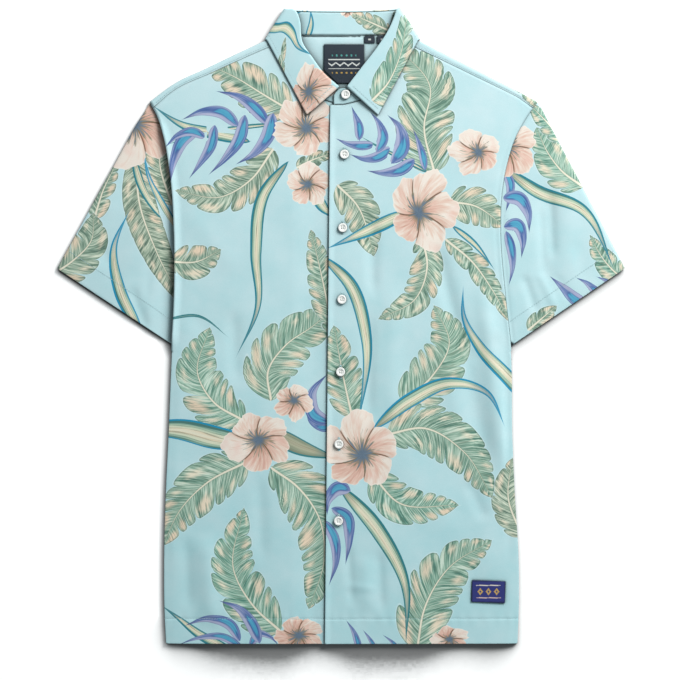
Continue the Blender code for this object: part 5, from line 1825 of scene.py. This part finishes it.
# The back's hem and the yoke's back seam are stitched on the underside
seams = [line for side in SIGN for line in seam_lines(side)]
for y, inset, lift in ((HEM_Y, 4, 0), (YOKE_SEAM_Y, 2, 2)):
    x = np.linspace(edge_x("left", y) + inset, edge_x("right", y) - inset, 200)
    line = plan(x, y + lift if lift else hem_y(x) + HEM_DEPTH)
    seams.append(stitched(raised(line, BACK_Z), face=-1))
places = button_floor()
holes = [bar for place in places[1:] for bar in buttonhole(place)]
strands = [bar for place in places for bar in button_thread(place)]
add_threads("Topstitching", seams, THREAD)
add_threads("Buttonholes", holes, THREAD)
add_threads("Button_threads", strands, WHITE_THREAD)
for number, place in enumerate(places, 1):
    points = placed(button_points(), place)
    mesh = joined_mesh(f"Button_{number}", [Patch(points, points[..., :2])], points[0, 0] + (0, 0, 3))
    show(f"Button_{number}", mesh, [RESIN], [f"button_{number}"])

add_label("Neck_label", neck_label_grid(), paint_neck_label)
add_label("Hem_label", hem_label_grid(), paint_hem_label)
for number, centre in enumerate(SIZE_TABS, 1):
    add_label(f"Size_tab_{number}", tab_grid(centre), partial(paint_tab, centre))

# ---------------------------------------------------------------------------------------------
# Floor, light and camera. Metres, and watts for the light

FLOOR_HALF = 3.0
# Where a point of the floor looks for what stands between it and the light
LIT_FROM = (0.3, 0.85, 0.42)
# The shade reaches least far along the left sleeve, and furthest below the hem
SLEEVE_SHADE = 7.5 * MM
BODY_SHADE = 28 * MM
HEM_SHADE = 25 * MM
LEFT_SLEEVE_X = -0.226
LEFT_SIDE_X = -0.2
SOFTBOX_SIZE = 1.15
SOFTBOX_POWER = 124.0
SOFTBOX_PLACE = (1.69, 2.08, 1.75)
CAMERA_PLACE = (-0.0012, -0.0165, 2.4)
CAMERA_LENS = 103.7

corners = [(x * FLOOR_HALF, y * FLOOR_HALF, 0) for x, y in ((-1, -1), (1, -1), (1, 1), (-1, 1))]
floor = bpy.data.meshes.new("Floor")
floor.from_pydata(corners, [], [(0, 1, 2, 3)])
floor = bpy.data.objects.new("Floor", floor)
bpy.context.scene.collection.objects.link(floor)
# Uncoated paper: matte, near white, kept white by a painted glow. A painted shadow darkens its colour
# and dims the glow where the shirt stands between it and the light
paper, node, shader = new_finish("White backdrop paper")
across, up, _ = node("SeparateXYZ", node("TexCoord").outputs["Object"]).outputs
low = node("Math.MULTIPLY_ADD", up, -40.0, -14.2, use_clamp=True)
reach = node("MapRange", across, LEFT_SLEEVE_X, LEFT_SIDE_X, SLEEVE_SHADE, BODY_SHADE, clamp=True)
reach = node("Math.MULTIPLY_ADD", low, HEM_SHADE, reach)
lit_from = node("CombineXYZ", *LIT_FROM)
open_sky = node("AmbientOcclusion", samples=32, inputs={"Distance": reach, "Normal": lit_from})
open_sky = open_sky.outputs["AO"]
# Under the hem the core of the shade is widest in two places, where the body lies fullest
notch = node("Math.SINE", node("Math.MULTIPLY_ADD", across, 18.3, -1.1))
notch = node("Math.MULTIPLY_ADD", node("Math.POWER", notch, 6.0), -0.16, 0.43)
ends = node("Math.POWER", node("Math.MULTIPLY", across, 5.0), 4.0)
core = node("Math.MULTIPLY_ADD", low, node("Math.MULTIPLY_ADD", ends, -0.26, notch), 0.5)
lit = node("MapRange", open_sky, core, 0.985, 0.0, 1.0, clamp=True)
towards_key = node("Math.MULTIPLY_ADD", across, 3.0, node("Math.ADD", low, 0.3), use_clamp=True)
dark = node("MixRGB", towards_key, "#505050", "#858585")
shade = node("MixRGB", lit, dark, "#f2f2f2")
glow = node("Math.MULTIPLY", node("Math.POWER", lit, 1.4), 0.42)
feed(shader, {"Base Color": shade, "Emission Strength": glow, "Emission Color": "#ffffff",
              "Roughness": 0.9, "Specular IOR Level": 0.0})
floor.data.materials.append(paper)

key = bpy.data.lights.new("Softbox", "AREA")
key.size = SOFTBOX_SIZE
key.energy = SOFTBOX_POWER
key.color = (0.99, 0.985, 0.97)
key = bpy.data.objects.new("Softbox", key)
key.location = SOFTBOX_PLACE
key.rotation_euler = key.location.to_track_quat("Z", "Y").to_euler()
bpy.context.scene.collection.objects.link(key)

world = bpy.data.worlds.new("Studio")
world.use_nodes = True
feed(world.node_tree.nodes["Background"], {"Color": (0.86, 0.97, 1.0, 1.0), "Strength": 0.31})
bpy.context.scene.world = world

camera = bpy.data.cameras.new("Camera")
camera.type = "PERSP"
camera.sensor_width = 36.0
camera.lens = CAMERA_LENS
camera = bpy.data.objects.new("Camera", camera)
camera.location = CAMERA_PLACE
bpy.context.scene.collection.objects.link(camera)
bpy.context.scene.camera = camera
bpy.context.scene.view_settings.view_transform = "Standard"
